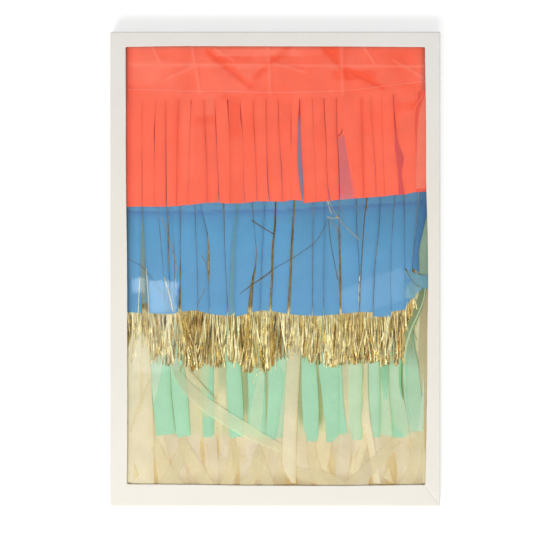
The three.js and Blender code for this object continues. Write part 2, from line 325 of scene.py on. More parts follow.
def add_node(tree, kind, inputs=None, **settings):
    """A new node with its settings. Its inputs are values, or outputs of other nodes."""
    node = tree.nodes.new(kind)
    for name, value in settings.items():
        setattr(node, name, value)
    for name, value in (inputs or {}).items():
        if isinstance(value, bpy.types.NodeSocket):
            tree.links.new(value, node.inputs[name])
        else:
            node.inputs[name].default_value = value
    return node


def new_material(name):
    material = bpy.data.materials.new(name)
    material.use_nodes = True
    material.node_tree.nodes.clear()
    return material, material.node_tree


def maths(tree, operation, *values):
    return add_node(tree, "ShaderNodeMath", dict(enumerate(values)), operation=operation).outputs[0]


def noise_fac(tree, place, scale, detail=4, stretch=(1, 1, 1)):
    mapping = add_node(tree, "ShaderNodeMapping", {"Vector": place, "Scale": stretch})
    inputs = {"Vector": mapping.outputs["Vector"], "Scale": scale, "Detail": detail}
    return add_node(tree, "ShaderNodeTexNoise", inputs).outputs["Fac"]


def remapped(tree, value, low, high, from_low=0.3, from_high=0.7):
    inputs = {"Value": value, "From Min": from_low, "From Max": from_high, "To Min": low, "To Max": high}
    return add_node(tree, "ShaderNodeMapRange", inputs).outputs["Result"]


def scaled_colour(tree, colour, factor):
    return add_node(tree, "ShaderNodeVectorMath", {0: colour, "Scale": factor}, operation="SCALE").outputs[0]


def bumped(tree, height, strength, distance):
    inputs = {"Height": height, "Strength": strength, "Distance": distance}
    return add_node(tree, "ShaderNodeBump", inputs).outputs["Normal"]


def object_place(tree):
    return add_node(tree, "ShaderNodeTexCoord").outputs["Object"]


def finished(tree, shader, output="ShaderNodeOutputMaterial"):
    add_node(tree, output, {"Surface": shader})


def surface(name, colour, shades, rough, relief, inputs):
    """One colour times the mesh's tint, which holds painted light and shade as well as tone, with the
    shader's inputs that are even all over.

    Each shade, and the roughness, is a noise (scale, detail, stretch) with the range that it gives.
    The relief is a noise with the bump's strength and distance."""
    material, tree = new_material(name)
    place = object_place(tree)
    for texture, low, high in shades:
        colour = scaled_colour(tree, colour, remapped(tree, noise_fac(tree, place, *texture), low, high))
    tint = add_node(tree, "ShaderNodeAttribute", attribute_name="tint").outputs["Color"]
    tinted = add_node(tree, "ShaderNodeVectorMath", {0: colour, 1: tint}, operation="MULTIPLY").outputs[0]
    texture, low, high = rough
    roughness = remapped(tree, noise_fac(tree, place, *texture), low, high)
    texture, strength, distance = relief
    normal = bumped(tree, noise_fac(tree, place, *texture), strength, distance)
    inputs = {**inputs, "Base Color": tinted, "Roughness": roughness, "Normal": normal}
    finished(tree, add_node(tree, "ShaderNodeBsdfPrincipled", inputs).outputs["BSDF"])
    return material


def tissue(name, colour, alpha=1.0):
    """Thin dyed paper: a faint cloudiness, fibres and a fine crackle of creases."""
    shades = (((70,), 0.95, 1.035), ((1100, 3, (1, 0.4, 1)), 0.95, 1.04))
    inputs = {"Specular IOR Level": 0.25, "Alpha": alpha}
    return surface(name, colour, shades, ((160,), 0.62, 0.82), ((240, 5), 0.35, 0.0006), inputs)


def foil(name, colour):
    """Bright metal film slit into strands, each with its tint of painted reflection and shade, and small
    kinks.
    """
    shades = (((700, 3, (1, 0.3, 1)), 0.68, 1.18),)
    kinks = ((440, 3, (1, 0.35, 1)), 0.5, 0.0008)
    return surface(name, colour, shades, ((300,), 0.23, 0.4), kinks, {"Metallic": 1.0})


def card(name, colour):
    """Uncoated white card: faint cloudiness, fibres and a fine tooth."""
    shades = (((28, 3), 0.985, 1.012), ((700, 3), 0.985, 1.01))
    tooth = ((1300,), 0.12, 0.0003)
    return surface(name, colour, shades, ((220,), 0.55, 0.7), tooth, {"Specular IOR Level": 0.3})


def clear_film(name):
    """Thin clear film: nearly all light passes, and a little is mirrored, more at a low angle."""
    material, tree = new_material(name)
    through = add_node(tree, "ShaderNodeBsdfTransparent", {"Color": (0.995, 0.995, 0.99, 1)})
    ripple = bumped(tree, noise_fac(tree, object_place(tree), 26, 2), 0.02, 0.0015)
    mirror = add_node(tree, "ShaderNodeBsdfGlossy", {"Roughness": 0.018, "Normal": ripple})
    facing = add_node(tree, "ShaderNodeLayerWeight", {"Blend": 0.5}).outputs["Facing"]
    share = maths(tree, "MULTIPLY_ADD", maths(tree, "POWER", facing, 5.0), 0.5, 0.015)
    inputs = {"Fac": share, 1: through.outputs["BSDF"], 2: mirror.outputs["BSDF"]}
    finished(tree, add_node(tree, "ShaderNodeMixShader", inputs).outputs["Shader"])
    return material


def woven(name, colour):
    """A narrow plain-woven tape."""
    material, tree = new_material(name)
    kind, inputs = "ShaderNodeTexWave", {"Vector": object_place(tree), "Scale": 320, "Distortion": 1.5}
    waves = [add_node(tree, kind, inputs, bands_direction=side).outputs["Fac"] for side in "XY"]
    weave = maths(tree, "MULTIPLY", *waves)
    shown = scaled_colour(tree, colour, remapped(tree, weave, 0.85, 1.0, 0, 1))
    inputs = {"Base Color": shown, "Roughness": 0.85, "Normal": bumped(tree, weave, 0.6, 0.0003)}
    finished(tree, add_node(tree, "ShaderNodeBsdfPrincipled", inputs).outputs["BSDF"])
    return material


# The single tissues let some of what lies behind them through
coral_tissue = tissue("coral_tissue", (1.0, 0.147, 0.08))
coral_thin = tissue("coral_tissue_single", (0.92, 0.19, 0.16), 0.62)
blue_tissue = tissue("blue_tissue", (0.112, 0.335, 0.6))
blue_thin = tissue("blue_tissue_single", (0.2, 0.42, 0.56), 0.75)
mint_tissue = tissue("mint_tissue", (0.36, 0.645, 0.445))
mint_thin = tissue("mint_tissue_single", (0.6, 0.82, 0.58), 0.72)
cream_tissue = tissue("cream_tissue", (0.76, 0.67, 0.415))
cream_thin = tissue("cream_tissue_single", (0.96, 0.88, 0.63), 0.64)
cream_over = tissue("cream_tissue_double", (0.85, 0.77, 0.545), 0.86)
cream_sheer = tissue("cream_tissue_sheer", (0.92, 0.83, 0.53), 0.5)
gold_foil = foil("gold_foil", (1.0, 0.862, 0.467))
white_card = card("white_card", (0.765, 0.742, 0.685))
film_clear = clear_film("clear_film")
tape_cloth = woven("white_tape", (0.85, 0.83, 0.78))
thread_cotton = tissue("coral_thread", (1.0, 0.33, 0.26))


# The front panel

def stitch_climb(x):
    """How far the line of stitches and the tops of the slits rise towards the free end."""
    return STITCH_RISE * ((np.asarray(x) + FREE_END) / (2 * FREE_END)) ** STITCH_RISE_POWER


def slit_top(x):
    return HEADER_TOP - SLIT_DROP + stitch_climb(np.clip(x, -FREE_END, FREE_END))


# Creases across the header: both ends, how high the ridge stands and how far it spreads
HEADER_CREASES = (
    ((-61.5, 166), (-55, 128), 0.2, 5),
    ((-5.5, 166), (-4, 128), 0.22, 5),
    ((48, 166), (49, 126), 0.2, 6),
    ((-49, 158), (-18, 133), -0.2, 5),
    ((-60, 147), (-80, 138), 0.12, 4),
    ((-44, 160), (-30, 152), 0.14, 4),
    ((36, 162), (54, 140), -0.2, 5),
    ((52, 146), (78, 132), -0.16, 4),
    ((-2, 150), (22, 143), 0.14, 4),
    ((8, 160), (-14, 140), -0.14, 5),
    ((62, 165), (72, 150), 0.14, 4),
    ((86, 152), (108, 139), 0.12, 5),
    ((-108, 149), (112, 147.5), 0.04, 1.6),
    ((-92, 166), (-84, 150), 0.1, 5),
)


def ridge(x, y, start, end, spread):
    """1 on the line from start to end, falling to 0 at the spread on either side and past the ends."""
    start, end = np.array(start, float), np.array(end, float)
    run = end - start
    length = np.hypot(*run)
    run = run / length
    along = (x - start[0]) * run[0] + (y - start[1]) * run[1]
    off = np.abs((x - start[0]) * run[1] - (y - start[1]) * run[0])
    past = np.maximum(np.maximum(-along, along - length), 0)
    return np.clip(1 - np.hypot(off, past) / spread, 0, 1)


HEADER_LOW, HEADER_HIGH = (-FOLD_START, HEADER_TOP - 45), (FREE_END, HEADER_TOP)


def header_crumple(x, y):
    wide = crumple(x, y, HEADER_LOW, HEADER_HIGH, 24, 31)
    fine = crumple(x, y, HEADER_LOW, HEADER_HIGH, 11, 32)
    return 0.75 * wide + 0.35 * fine


RELIEF_LOW, RELIEF_HIGH = -0.34, 0.6


def header_relief(x, y):
    """How far the header stands off: its crumple, a fine grain and its creases, fading at the slits."""
    height = 0.3 * header_crumple(x, y) + 0.05 * roughly(x, y, 5, 4.5)
    for start, end, high, spread in HEADER_CREASES:
        height = height + 1.7 * high * ridge(x, y, start, end, spread * 0.6)
    return np.clip(height, RELIEF_LOW, RELIEF_HIGH) * smooth((y - slit_top(x) + 2) / 12)


# Where the coral, blue and gold of the panels behind end, from left to right
BAND_PLACES = (-113, -60, 0, 40, 80, 110)
BAND_ENDS = (42.4, 42.6, 43.4, 45.2, 47.8, 50.0)


def under_band(x, y):
    """How far a place lies below the foot of the coral behind the front panel."""
    return np.interp(x, BAND_PLACES, BAND_ENDS) - y


# Below that foot the layers sink by the coral's own bulk, and rise again a little further down
BAND_SINK, SINK_RUN = 0.32, 1.3
BAND_RISE, RISE_FROM, RISE_RUN = 0.2, 4, 14


def front_height(slot, x, y):
    """The height of a layer of the front panel, before a strip's own shape is added."""
    z = settle(x, np.full(np.shape(x), layer_height(0, slot)))
    if slot == CORAL_SLOT:
        return z
    below = under_band(x, y)
    return z - BAND_SINK * smooth(below / SINK_RUN) + BAND_RISE * smooth((below - RISE_FROM) / RISE_RUN)


def raised(slot, points):
    """A path over a layer of the front panel, from points (x, y, height over the layer)."""
    return [(x, y, front_height(slot, x, y) + high) for x, y, high in points]


def line_at(places, x):
    """The value at x on the straight lines between places (x, value)."""
    return np.interp(x, *np.array(places).T)


strip_chance = random.Random(SEED + 1)
# The run below its top over which a strip takes on its own shape
STRIP_EASE = 18
# What a strip's colour is multiplied by at its shaded edges, for each layer, and the shade's reach
EDGE_TINTS = ((0.9, 0.62, 0.5), (0.5, 0.66, 0.74), (1, 1, 1), (0.66, 0.86, 0.62), (0.88, 0.8, 0.6))
EDGE_REACH = 1.3


def edge_tint(slot, left_gap, right_gap, dark):
    """Shade along a strip's two edges, from how far each point lies from them."""
    amount = dark[0] * np.exp(-np.maximum(left_gap, 0) / EDGE_REACH)
    amount = amount + dark[1] * np.exp(-np.maximum(right_gap, 0) / EDGE_REACH)
    return mixed(1, EDGE_TINTS[slot], np.clip(amount, 0, 1))


def lift_at(lift, y):
    """A lift that is even, or changes down a strip, given as places (y, lift)."""
    return lift if np.isscalar(lift) else curve(y, *np.array(sorted(lift)).T)


def slit_edge(slit, side, y):
    """One side of a slit, which is given as places (y, x, gap)."""
    places, middle, gap = np.array(sorted(slit)).T
    return curve(y, places, middle) + side * curve(y, places, gap) / 2


def strip(cloth, slit_left, slit_right, ends, lift=0.0, crown=None, tilt=None, tint=(1, 1, 1), kind=0,
          rows=48, columns=8, top=None, shade=None):
    """A strip of the front panel between two slits, from their tops or a given one to its two ends."""
    pick = strip_chance.uniform
    crown = pick(0.1, 0.3) if crown is None else crown
    tilt = pick(-0.12, 0.12) if tilt is None else tilt
    across = (1 - np.cos(np.linspace(0, math.pi, columns)))[None, :] / 2
    down = np.linspace(0, 1, rows)[:, None]
    start = slit_top((slit_left[0][1] + slit_right[0][1]) / 2) if top is None else top
    y = start + (ends[0] + (ends[1] - ends[0]) * across - start) * down
    left, right = slit_edge(slit_left, 1, y), slit_edge(slit_right, -1, y)
    x = left + (right - left) * across
    if top is None:
        y = np.where(down == 0, slit_top(x), y)
    phase = pick(0, 6)
    waves = 0.05 * np.sin(y / pick(9, 16) + phase) + 0.05 * np.sin(y / pick(4, 7) + 2 * across + phase)
    twist = pick(-0.12, 0.12) * np.sin(y / pick(14, 30) + phase)
    bow = 1 - (2 * across - 1) ** 4
    shape = crown * (bow - 0.8) + (tilt + twist) * (2 * across - 1) + waves
    z = front_height(cloth.slot, x, y) + lift_at(lift, y) + smooth((start - y) / STRIP_EASE) * shape
    tone = np.array(tint) * (1 + pick(-0.03, 0.03))
    dark = [pick(0.05, 0.35), pick(0.35, 0.95)]
    if pick(0, 1) < 0.4:
        dark.reverse()
    tints = tone * edge_tint(cloth.slot, x - left, right - x, dark)
    if shade is not None:
        tints = tints * shade(x, y)
    cloth.grid(np.stack([x, y, np.minimum(z, SHEET_CEILING)], axis=-1), tints, kind)


def straight(x, top, foot):
    return ((top, x, 0), (foot, x, 0))


def fringe_front(cloth, slits, ends, **options):
    """The strips of one colour's front panel from its left fold to the last of the slits.

    Ends are places (x, y) along the fringe's foot."""
    bounds = (straight(-FOLD_START, 130, -40), *slits)
    for before, after in zip(bounds, bounds[1:]):
        foot = [before[-1][1], after[-1][1]]
        inset = min(0.6, (foot[1] - foot[0]) / 4)
        foot_y = line_at(ends, [foot[0] + inset, foot[1] - inset])
        jitter = strip_chance.uniform(-0.25, 0.25)
        strip(cloth, before, after, (foot_y[0] + jitter, foot_y[1] - jitter), **options)


def edged_strip(cloth, edges, ends, lift, kind=0, tint=(1, 1, 1), **options):
    """A strip given by its own two edges (y, left, right), running up straight to the tops of the slits."""
    top = slit_top((edges[0][1] + edges[0][2]) / 2)
    edges = [(top, *edges[0][1:]), *edges]
    left = [(y, left_x, 0) for y, left_x, right_x in edges]
    right = [(y, right_x, 0) for y, left_x, right_x in edges]
    strip(cloth, left, right, ends, lift, kind=kind, tint=tint, rows=90, top=top, **options)


def header_front(cloth, top_drop=INNER_TOP, step=4, relief=False, tint=(1, 1, 1), shade=None):
    """The uncut part of one layer of the front panel, from its top to the tops of the slits."""
    x = np.linspace(-FOLD_START, FREE_END, int((FREE_END + FOLD_START) / step))[None, :]
    down = np.linspace(0, 1, max(3, int((SLIT_DROP - top_drop) / step)))[:, None]
    top = HEADER_TOP - top_drop
    y = top + (slit_top(x) - top) * down
    x = np.broadcast_to(x, y.shape)
    z = front_height(cloth.slot, x, y)
    if relief:
        z = z + header_relief(x, y) * smooth((HEADER_TOP - y) / 3) * smooth((FREE_END - np.abs(x)) / 4)
        z = np.minimum(z, SHEET_CEILING)
    tints = np.array(tint) * (1 if shade is None else shade(x, y))
    cloth.grid(np.stack([x, y, z], axis=-1), tints)


# Ribbons and strands that lie freely over the front panel

def evenly(share, values):
    """Values spread evenly along a piece, or a single one, at the given shares of its length."""
    values = np.atleast_1d(values)
    return np.interp(share, np.linspace(0, 1, len(values)), values)


def ribbon(cloth, path, width, tint=(1, 1, 1), kind=0, columns=5, step=1.5, crown=0.05, turn=None,
           shade=None, edge=0.0):
    """A strip or strand along a smooth path of points (x, y, z), turned about its own line.

    Width and tint are single values, or several spread evenly along it. Edge paints shade along its two
    sides, and light where it is below zero."""
    path = np.array(path, float)
    gone = np.concatenate([[0], np.cumsum(np.hypot(*np.diff(path[:, :2], axis=0).T))])
    places = np.linspace(0, gone[-1], max(3, int(gone[-1] / step) + 1))
    line = np.stack([curve(places, gone, path[:, k]) for k in range(3)], axis=-1)
    run = np.gradient(line[:, :2], axis=0)
    run = run / np.maximum(np.hypot(*run.T), 1e-9)[:, None]
    side = np.stack([-run[:, 1], run[:, 0], np.zeros(len(run))], axis=-1)
    share = places / gone[-1]
    tints = np.stack([evenly(share, channel) for channel in np.atleast_2d(tint).T], axis=-1)
    angle = np.zeros(len(places)) if turn is None else turn(places)
    across = np.linspace(-0.5, 0.5, columns)
    off = evenly(share, width)[:, None] * across[None, :]
    points = line[:, None, :] + side[:, None, :] * (off * np.cos(angle)[:, None])[..., None]
    points[..., 2] += off * np.sin(angle)[:, None] + crown * (1 - (2 * across[None, :]) ** 2)
    points[..., 2] = np.minimum(points[..., 2], STRAND_CEILING)
    shade = 1.0 if shade is None else shade(points[..., 1])[..., None]
    # Painted shade along the two sides, painted light where edge is below zero
    sides = np.abs(2 * across) > 0.99
    shade = shade * (1 - edge * sides[None, :, None] * np.array((0.5, 0.8, 1.2)))
    cloth.grid(points, tints[:, None, :] * shade, kind)


# Coral

# Slits are places (y, x, gap) from the top down
CORAL_SLITS = (
    ((124, -97.0, 0.06), (112, -97.0, 0.2), (98, -97.0, 0.06), (76, -97.0, 0.25), (50, -97.0, 0.3)),
    ((126, -86.5, 0.03), (112, -87.4, 0.2), (98, -88.0, 0.65), (88, -88.0, 0.25), (75, -88.0, 0.06),
     (50, -88.0, 0.06)),
    ((126, -79.5, 0.06), (95, -79.6, 0.36), (50, -79.3, 0.5)),
    ((126, -70.5, 0.06), (83, -71.5, 0.09), (50, -72.0, 0.09)),
    ((127, -61.0, 0.55), (114, -61.5, 0.25), (102, -62.0, 0.18), (71, -63.0, 0.06), (50, -63.5, 0.06)),
    ((127, -51.5, 0.06), (112, -51.5, 0.06), (98, -51.0, 0.25), (79, -50.0, 0.15), (50, -49.5, 0.12)),
    ((122, -44.0, 0.06), (110, -43.5, 0.45), (98, -43.0, 0.45), (86, -42.5, 0.12), (62, -41.4, 0.3),
     (50, -41.0, 0.6)),
    ((126, -35.0, 1.2), (120, -34.6, 0.8), (110, -34.0, 0.4), (98, -33.3, 0.1), (75, -33.0, 0.06),
     (50, -33.0, 0.1)),
    ((122, -25.5, 0.06), (110, -25.0, 0.8), (102, -24.0, 0.3), (86, -23.3, 0.06), (63, -23.0, 0.2),
     (50, -22.5, 0.35)),
    ((124, -16.0, 0.06), (110, -15.8, 0.25), (98, -15.3, 0.3), (84, -14.5, 0.1), (71, -14.0, 0.1),
     (50, -13.5, 0.2)),
    ((122, -7.0, 0.25), (112, -6.8, 0.25), (96, -6.5, 0.1), (78, -6.0, 0.3), (63, -5.5, 0.48),
     (47, -4.0, 0.5)),
    ((124, 2.0, 0.2), (110, 2.4, 0.25), (94, 3.0, 0.1), (74, 4.5, 0.3), (49, 5.2, 0.12)),
    ((119, 11.5, 0.06), (100, 11.5, 0.42), (88, 11.6, 0.06), (49, 12.0, 0.06)),
    ((126, 17.8, 0.3), (119, 17.7, 0.8), (108, 17.4, 1.8), (97, 17.4, 2.3), (86, 17.6, 2.8), (72, 18.2, 3.2),
     (58, 19.4, 2.3), (48, 20.3, 0.54)),
    ((123, 27.0, 0.2), (108, 27.6, 0.15), (90, 28.4, 0.06), (66, 29.5, 0.04), (48, 30.0, 0.04)),
    ((121, 35.5, 0.4), (110, 36.0, 0.4), (95, 37.0, 0.25), (78, 37.5, 0.2), (58, 38.5, 0.2),
     (48, 40.0, 0.4)),
    ((123, 44.5, 0.25), (99, 45.0, 0.3), (82, 46.0, 0.36), (62, 46.6, 0.6), (49, 47.0, 0.7)),
)
CORAL_SLITS_RIGHT = (
    ((125, 62.5, 0.06), (90, 63.5, 0.06), (50, 64.5, 0.09)),
    ((120, 69.5, 0.06), (92, 71.5, 0.15), (70, 73.0, 0.2), (51, 73.5, 0.15)),
    ((120, 77.8, 0.06), (90, 78.5, 0.09), (51, 80.0, 0.09)),
    ((122, 86.0, 0.4), (110, 86.8, 0.6), (99, 87.7, 1.4), (82, 89.6, 2.4), (70, 90.5, 2.2), (53, 92.3, 2.8)),
)
CORAL_COVER = ((120, 45.5, 0), (99, 49.5, 0), (78.5, 53.0, 0), (50, 56.7, 0))
CORAL_LAST = ((124, 104.0, 0), (113, 102.0, 0), (90, 102.4, 0), (55, 102.6, 0))
CORAL_FLAP = ((130, 110.0, 0), (124, 107.6, 0), (117, 105.2, 0), (106, 103.6, 0), (90, 102.9, 0),
              (56, 102.0, 0))
# The far side of the strip that is turned up, and both sides of the one that lies under the open slit
CORAL_TURNED = ((120, 56.5, 0), (90, 57.5, 0), (50, 58.5, 0))
CORAL_UNDER = (
    ((120, 84.0, 0), (90, 85.5, 0), (52, 88.0, 0)),
    ((120, 93.0, 0), (90, 94.0, 0), (52, 95.5, 0)),
)
CORAL_ENDS = (
    (-113, 45.3), (-97, 45.4), (-76, 45.4), (-54, 47.6), (-43, 49.0), (-41, 48.2), (-35, 47.6), (-27, 47.6),
    (-15, 49.0), (-7, 49.6), (-2, 49.0), (10, 49.0), (12, 50.5), (19, 50.3), (21, 48.0), (38, 49.4),
    (47, 50.4), (56, 51.4), (66, 51.8), (73, 52.4), (87, 53.5), (98, 55.5), (105, 56.6), (114, 57.6),
)
# Painted shade on the turned strip's edge, a painted highlight on the flap's fold at the right: points,
# widths and tint
CORAL_EDGES = (
    (((48.6, 102, 0.24), (48.2, 99.5, 0.24), (46.6, 97.3, 0.24), (44.7, 96.4, 0.24)),
     (0.4, 0.8, 0.7, 0.3), (0.42, 0.2, 0.3)),
    (((108.8, 129, 0.45), (105.2, 123, 0.45), (102.8, 119.5, 0.45), (101.2, 115.5, 0.45)),
     (0.4, 0.7, 0.6, 0.3), (1.0, 1.4, 1.7)),
)
# Places on the coral painted paler as light and deeper as shade: middle, half size and how pale
CORAL_LIGHT_PATCHES = (
    ((-14, 157.5), (30, 2.6), 0.55),
    ((18, 157), (24, 2.2), 0.25),
    ((40, 160), (6, 5), -0.4),
    ((-30, 152), (12, 2.5), -0.35),
    ((58, 141), (16, 3.5), -0.4),
    ((2, 155), (8, 1.5), -0.3),
    ((-92, 143), (18, 9), 0.25),
    ((-72, 148.5), (33, 1.6), 0.25),
    ((-15, 147.5), (14, 1.6), 0.4),
    ((75, 147), (36, 1.4), 0.25),
    ((90, 140), (20, 5), 0.2),
    ((-47.5, 120), (4, 7), 0.3),
    ((-29.5, 110), (4, 14), -0.4),
    ((-30, 126), (9, 2.5), -0.35),
    ((-52, 108.5), (8, 3), -0.35),
    ((-73, 108), (2.5, 18), -0.15),
    ((-64, 90), (4, 26), 0.2),
    ((-19, 100), (3, 24), -0.15),
    ((8, 112), (3.5, 12), -0.2),
    ((32, 100), (3, 20), -0.1),
    ((76, 110), (14, 12), -0.15),
    ((95, 118), (8, 3), -0.3),
)


def coral_shade(x, y):
    """Painted shade where the sheet lies low on the next and at the left fold, painted light where it stands
    off.
    """
    painted_light = 0.75 * header_crumple(x, y) * smooth((y - slit_top(x) + 1) / 6) + 0.25 * roughly(x, y, 14, 6.5)
    # Patches and creases are painted lighter and darker, as light and shade on the crumpled sheet
    for (middle_x, middle_y), (half_x, half_y), amount in CORAL_LIGHT_PATCHES:
        away = np.maximum(np.abs(x - middle_x) / half_x, np.abs(y - middle_y) / half_y)
        painted_light = painted_light + 1.7 * amount * smooth((1.15 - away) / 0.3)
    for start, end, high, breadth in HEADER_CREASES:
        reach, much = (1.2, 1.5) if high > 0 else (breadth * 0.8, 1.3)
        painted_light = painted_light + much * np.sign(high) * ridge(x, y, start, end, reach) * smooth((y - slit_top(x)) / 3)
    # A painted shadow beside the flap at the right
    painted_light = np.clip(painted_light - 1.2 * ridge(x, y, (113, 131), (101, 119), 2.2), -1.3, 1.4)
    shown = 1 + painted_light[..., None] * np.array((0.02, 0.31, 0.48))
    # The card's thickness shades the sheet along the window's edges
    shown = shown * mixed(1, (0.7, 0.78, 0.78), smooth((-106.4 - x) / 1.3))
    shown = shown * mixed(1, (0.66, 0.82, 0.95), smooth((x - 105) / 3.4))
    shown = shown * mixed(1, (0.7, 0.98, 1.08), smooth((y - 159.6) / 2.2))
    # Painted shade towards the left fold
    return shown * mixed(1, (0.88, 0.62, 0.58), smooth((-102 - x) / 6))


def slit_shade(x, y):
    """Painted shade: dark red at the top of an open slit, and rose lower down where the blue shows through.
    """
    return mixed((0.74, 0.55, 1.0), (0.45, 0.16, 0.22), smooth((y - 96) / 12))


def over_the_top(cloth):
    """The coral's turn over the top of the header and its back, all along the garland."""
    half_turn = np.linspace(0, math.pi, 9)
    slots = np.concatenate([BACK_SLOT / 2 * (1 - np.cos(half_turn)), [BACK_SLOT, BACK_SLOT]])
    drops = np.concatenate([OUTER_TOP * (1 - np.sin(half_turn)), [20, STITCH_DROP + 4]])
    for start, end in ((0, FIRST_RUN), (FIRST_RUN, WHOLE_RUN)):
        folded_grid(cloth, turn_samples(start, end, 6), slots[:, None], drops[:, None])


def make_coral():
    cloth = Cloth("coral_tissue_fringe", [coral_tissue, coral_thin], CORAL_SLOT)
    header_front(cloth, OUTER_TOP, 1.0, True, shade=coral_shade)
    fringe_front(cloth, CORAL_SLITS, CORAL_ENDS, shade=coral_shade)
    over_the_top(cloth)
    before = CORAL_SLITS[-1]
    strip(cloth, before, CORAL_TURNED, (94.5, 104), 0.08, 0.03, 0, shade=coral_shade)
    points, widths, tint = CORAL_EDGES[0]
    ribbon(cloth, raised(CORAL_SLOT, points), widths, tint, columns=3, step=0.6)
    strip(cloth, before, CORAL_TURNED, (50.4, 51.4), -0.08, 0.02, 0, (1.15, 1.15, 1.3), 1, top=108)
    strip(cloth, CORAL_COVER, CORAL_SLITS_RIGHT[0], (51.4, 51.8), 0.06, shade=coral_shade)
    for before, after in zip(CORAL_SLITS_RIGHT, CORAL_SLITS_RIGHT[1:]):
        strip(cloth, before, after, line_at(CORAL_ENDS, [before[-1][1], after[-1][1]]), shade=coral_shade)
    strip(cloth, CORAL_SLITS_RIGHT[-1], CORAL_LAST, (54.0, 56.2), shade=coral_shade)
    strip(cloth, *CORAL_UNDER, (53.6, 54.6), -0.12, 0.02, 0, shade=slit_shade)
    last = straight(FREE_END - 0.5, 130, 50)
    strip(cloth, CORAL_LAST, last, (55.8, 57.0), -0.12, 0.02, 0, (0.92, 0.7, 0.7))
    strip(cloth, CORAL_FLAP, last, (58.2, 58.8), 0.2, 0.03, tint=(0.93, 1.35, 1.6))
    points, widths, tint = CORAL_EDGES[1]
    ribbon(cloth, raised(CORAL_SLOT, points), widths, tint, columns=3, step=0.6)
    folded_part(cloth, drop_of(coral_low), 1.5, 11, OUTER_TOP)
    return cloth.make()


# Blue

BLUE_SLITS = (
    ((120, -96.5, 0.2), (45, -96.5, 0.9), (23, -96.0, 1.6), (-4, -95.5, 2.4), (-31, -95.2, 4.0)),
    ((120, -86.0, 0.1), (42, -85.0, 0.2), (34, -84.5, 0.3), (11, -82.5, 0.3), (-8, -81.0, 0.2),
     (-32, -80.5, 0.1)),
    ((120, -79.0, 0.1), (45, -78.5, 0.6), (34, -78.0, 0.7), (4, -77.5, 0.5), (-9, -77.0, 0.3),
     (-32, -77.0, 0.1)),
    ((120, -75.0, 0.1), (27, -74.5, 0.1), (11, -73.5, 0.4), (-9, -73.5, 0.4), (-32, -73.5, 0.1)),
    ((120, -70.0, 0.1), (34, -69.0, 0.4), (8, -69.0, 0.4), (0, -69.0, 0.9), (-5, -69.0, 0.9),
     (-9, -69.0, 0.3), (-13, -69.2, 0.9), (-31, -69.5, 2.4)),
    ((120, -59.0, 0.1), (45, -58.5, 0.4), (27, -58.0, 0.3), (4, -57.0, 0.3), (-31, -56.5, 0.2)),
    ((120, -54.0, 0.1), (42, -53.0, 0.1), (23, -49.0, 0.7), (5, -48.5, 1.6), (-3, -48.5, 1.5),
     (-9, -48.3, 0.6), (-33, -47.5, 0.3)),
    ((120, -38.0, 0.1), (48, -37.5, 0.9), (23, -37.0, 0.4), (-11, -35.5, 0.4), (-33, -34.5, 0.5)),
    ((120, -27.5, 0.1), (46, -28.0, 1.2), (15, -30.5, 2.6), (-11, -31.5, 3.4), (-33, -32.0, 3.8)),
    ((120, -17.5, 0.1), (47, -16.8, 0.5), (22, -14.5, 0.2), (13, -13.8, 0.5), (0, -14.8, 1.2),
     (-8, -16.4, 1.9), (-31, -18.5, 3.3)),
    ((120, -8.0, 0.1), (47, -7.5, 0.2), (10, -9.5, 0.2), (-31, -11.0, 0.15)),
    ((120, 1.0, 0.1), (48, 0.3, 1.1), (33, -0.2, 1.4), (16, -1.8, 1.5), (0, -2.2, 1.6), (-31, -3.7, 1.9)),
    ((120, 14.5, 0.1), (48, 14.0, 1.1), (33, 13.0, 1.5), (0, 11.3, 1.8), (-33, 9.7, 2.1)),
    ((120, 28.0, 0.1), (43, 27.5, 0.3), (0, 27.0, 0.35), (-34, 27.0, 0.3)),
    ((120, 36.0, 0.1), (33, 35.5, 0.1), (-34, 35.0, 0.35)),
    ((120, 46.5, 0.1), (51, 46.5, 0.4), (37, 46.7, 0.6), (8, 47.0, 1.5), (-10, 47.3, 1.9), (-33, 47.7, 1.6)),
    ((120, 58.5, 0.1), (45, 59.0, 0.4), (25, 59.5, 0.3), (4, 61.0, 0.3), (-16, 61.3, 0.6), (-31, 61.5, 0.6)),
)
BLUE_SLITS_RIGHT = (
    ((120, 67.0, 0.1), (51, 66.5, 1.0), (37, 65.0, 0.7), (16, 63.5, 0.7), (-16, 62.0, 0.5),
     (-31, 61.7, 0.4)),
    ((120, 77.0, 0.1), (52, 76.5, 0.3), (37, 76.0, 0.3), (0, 72.5, 0.5), (-24, 71.5, 0.4), (-32, 71.3, 0.2)),
    ((120, 87.5, 0.1), (52, 87.0, 0.4), (33, 85.5, 0.3), (-8, 84.0, 0.3), (-33, 84.5, 0.3)),
    ((120, 94.0, 0.1), (54, 93.7, 0.6), (37, 94.0, 0.3), (-30, 94.6, 0.2)),
)
BLUE_LAST = ((120, 104.0, 0.2), (56, 104.5, 0.5), (37, 103.0, 0.4), (16, 101.0, 0.4), (4, 100.0, 0.3),
             (-29, 98.0, 0.2))
BLUE_EDGE = ((120, 113.0, 0), (50, 112.0, 0), (38, 110.0, 0), (25, 107.0, 0), (12, 104.5, 0), (4, 104.5, 0))
BLUE_ENDS = (
    (-113, -31.0), (-100, -32.0), (-91, -32.2), (-76, -32.8), (-71, -32.0), (-68, -30.2), (-57, -30.0),
    (-54, -31.0), (-47, -33.0), (-36, -33.2), (-34, -35.0), (-22, -35.2), (-17, -30.4), (-4, -30.2),
    (-2, -31.0), (8, -32.0), (11, -33.4), (27, -34.2), (45, -33.4), (50, -32.0), (61, -31.2), (71, -31.4),
    (72, -35.0), (84, -35.0), (85, -31.0), (94, -29.6), (105, -29.0),
)
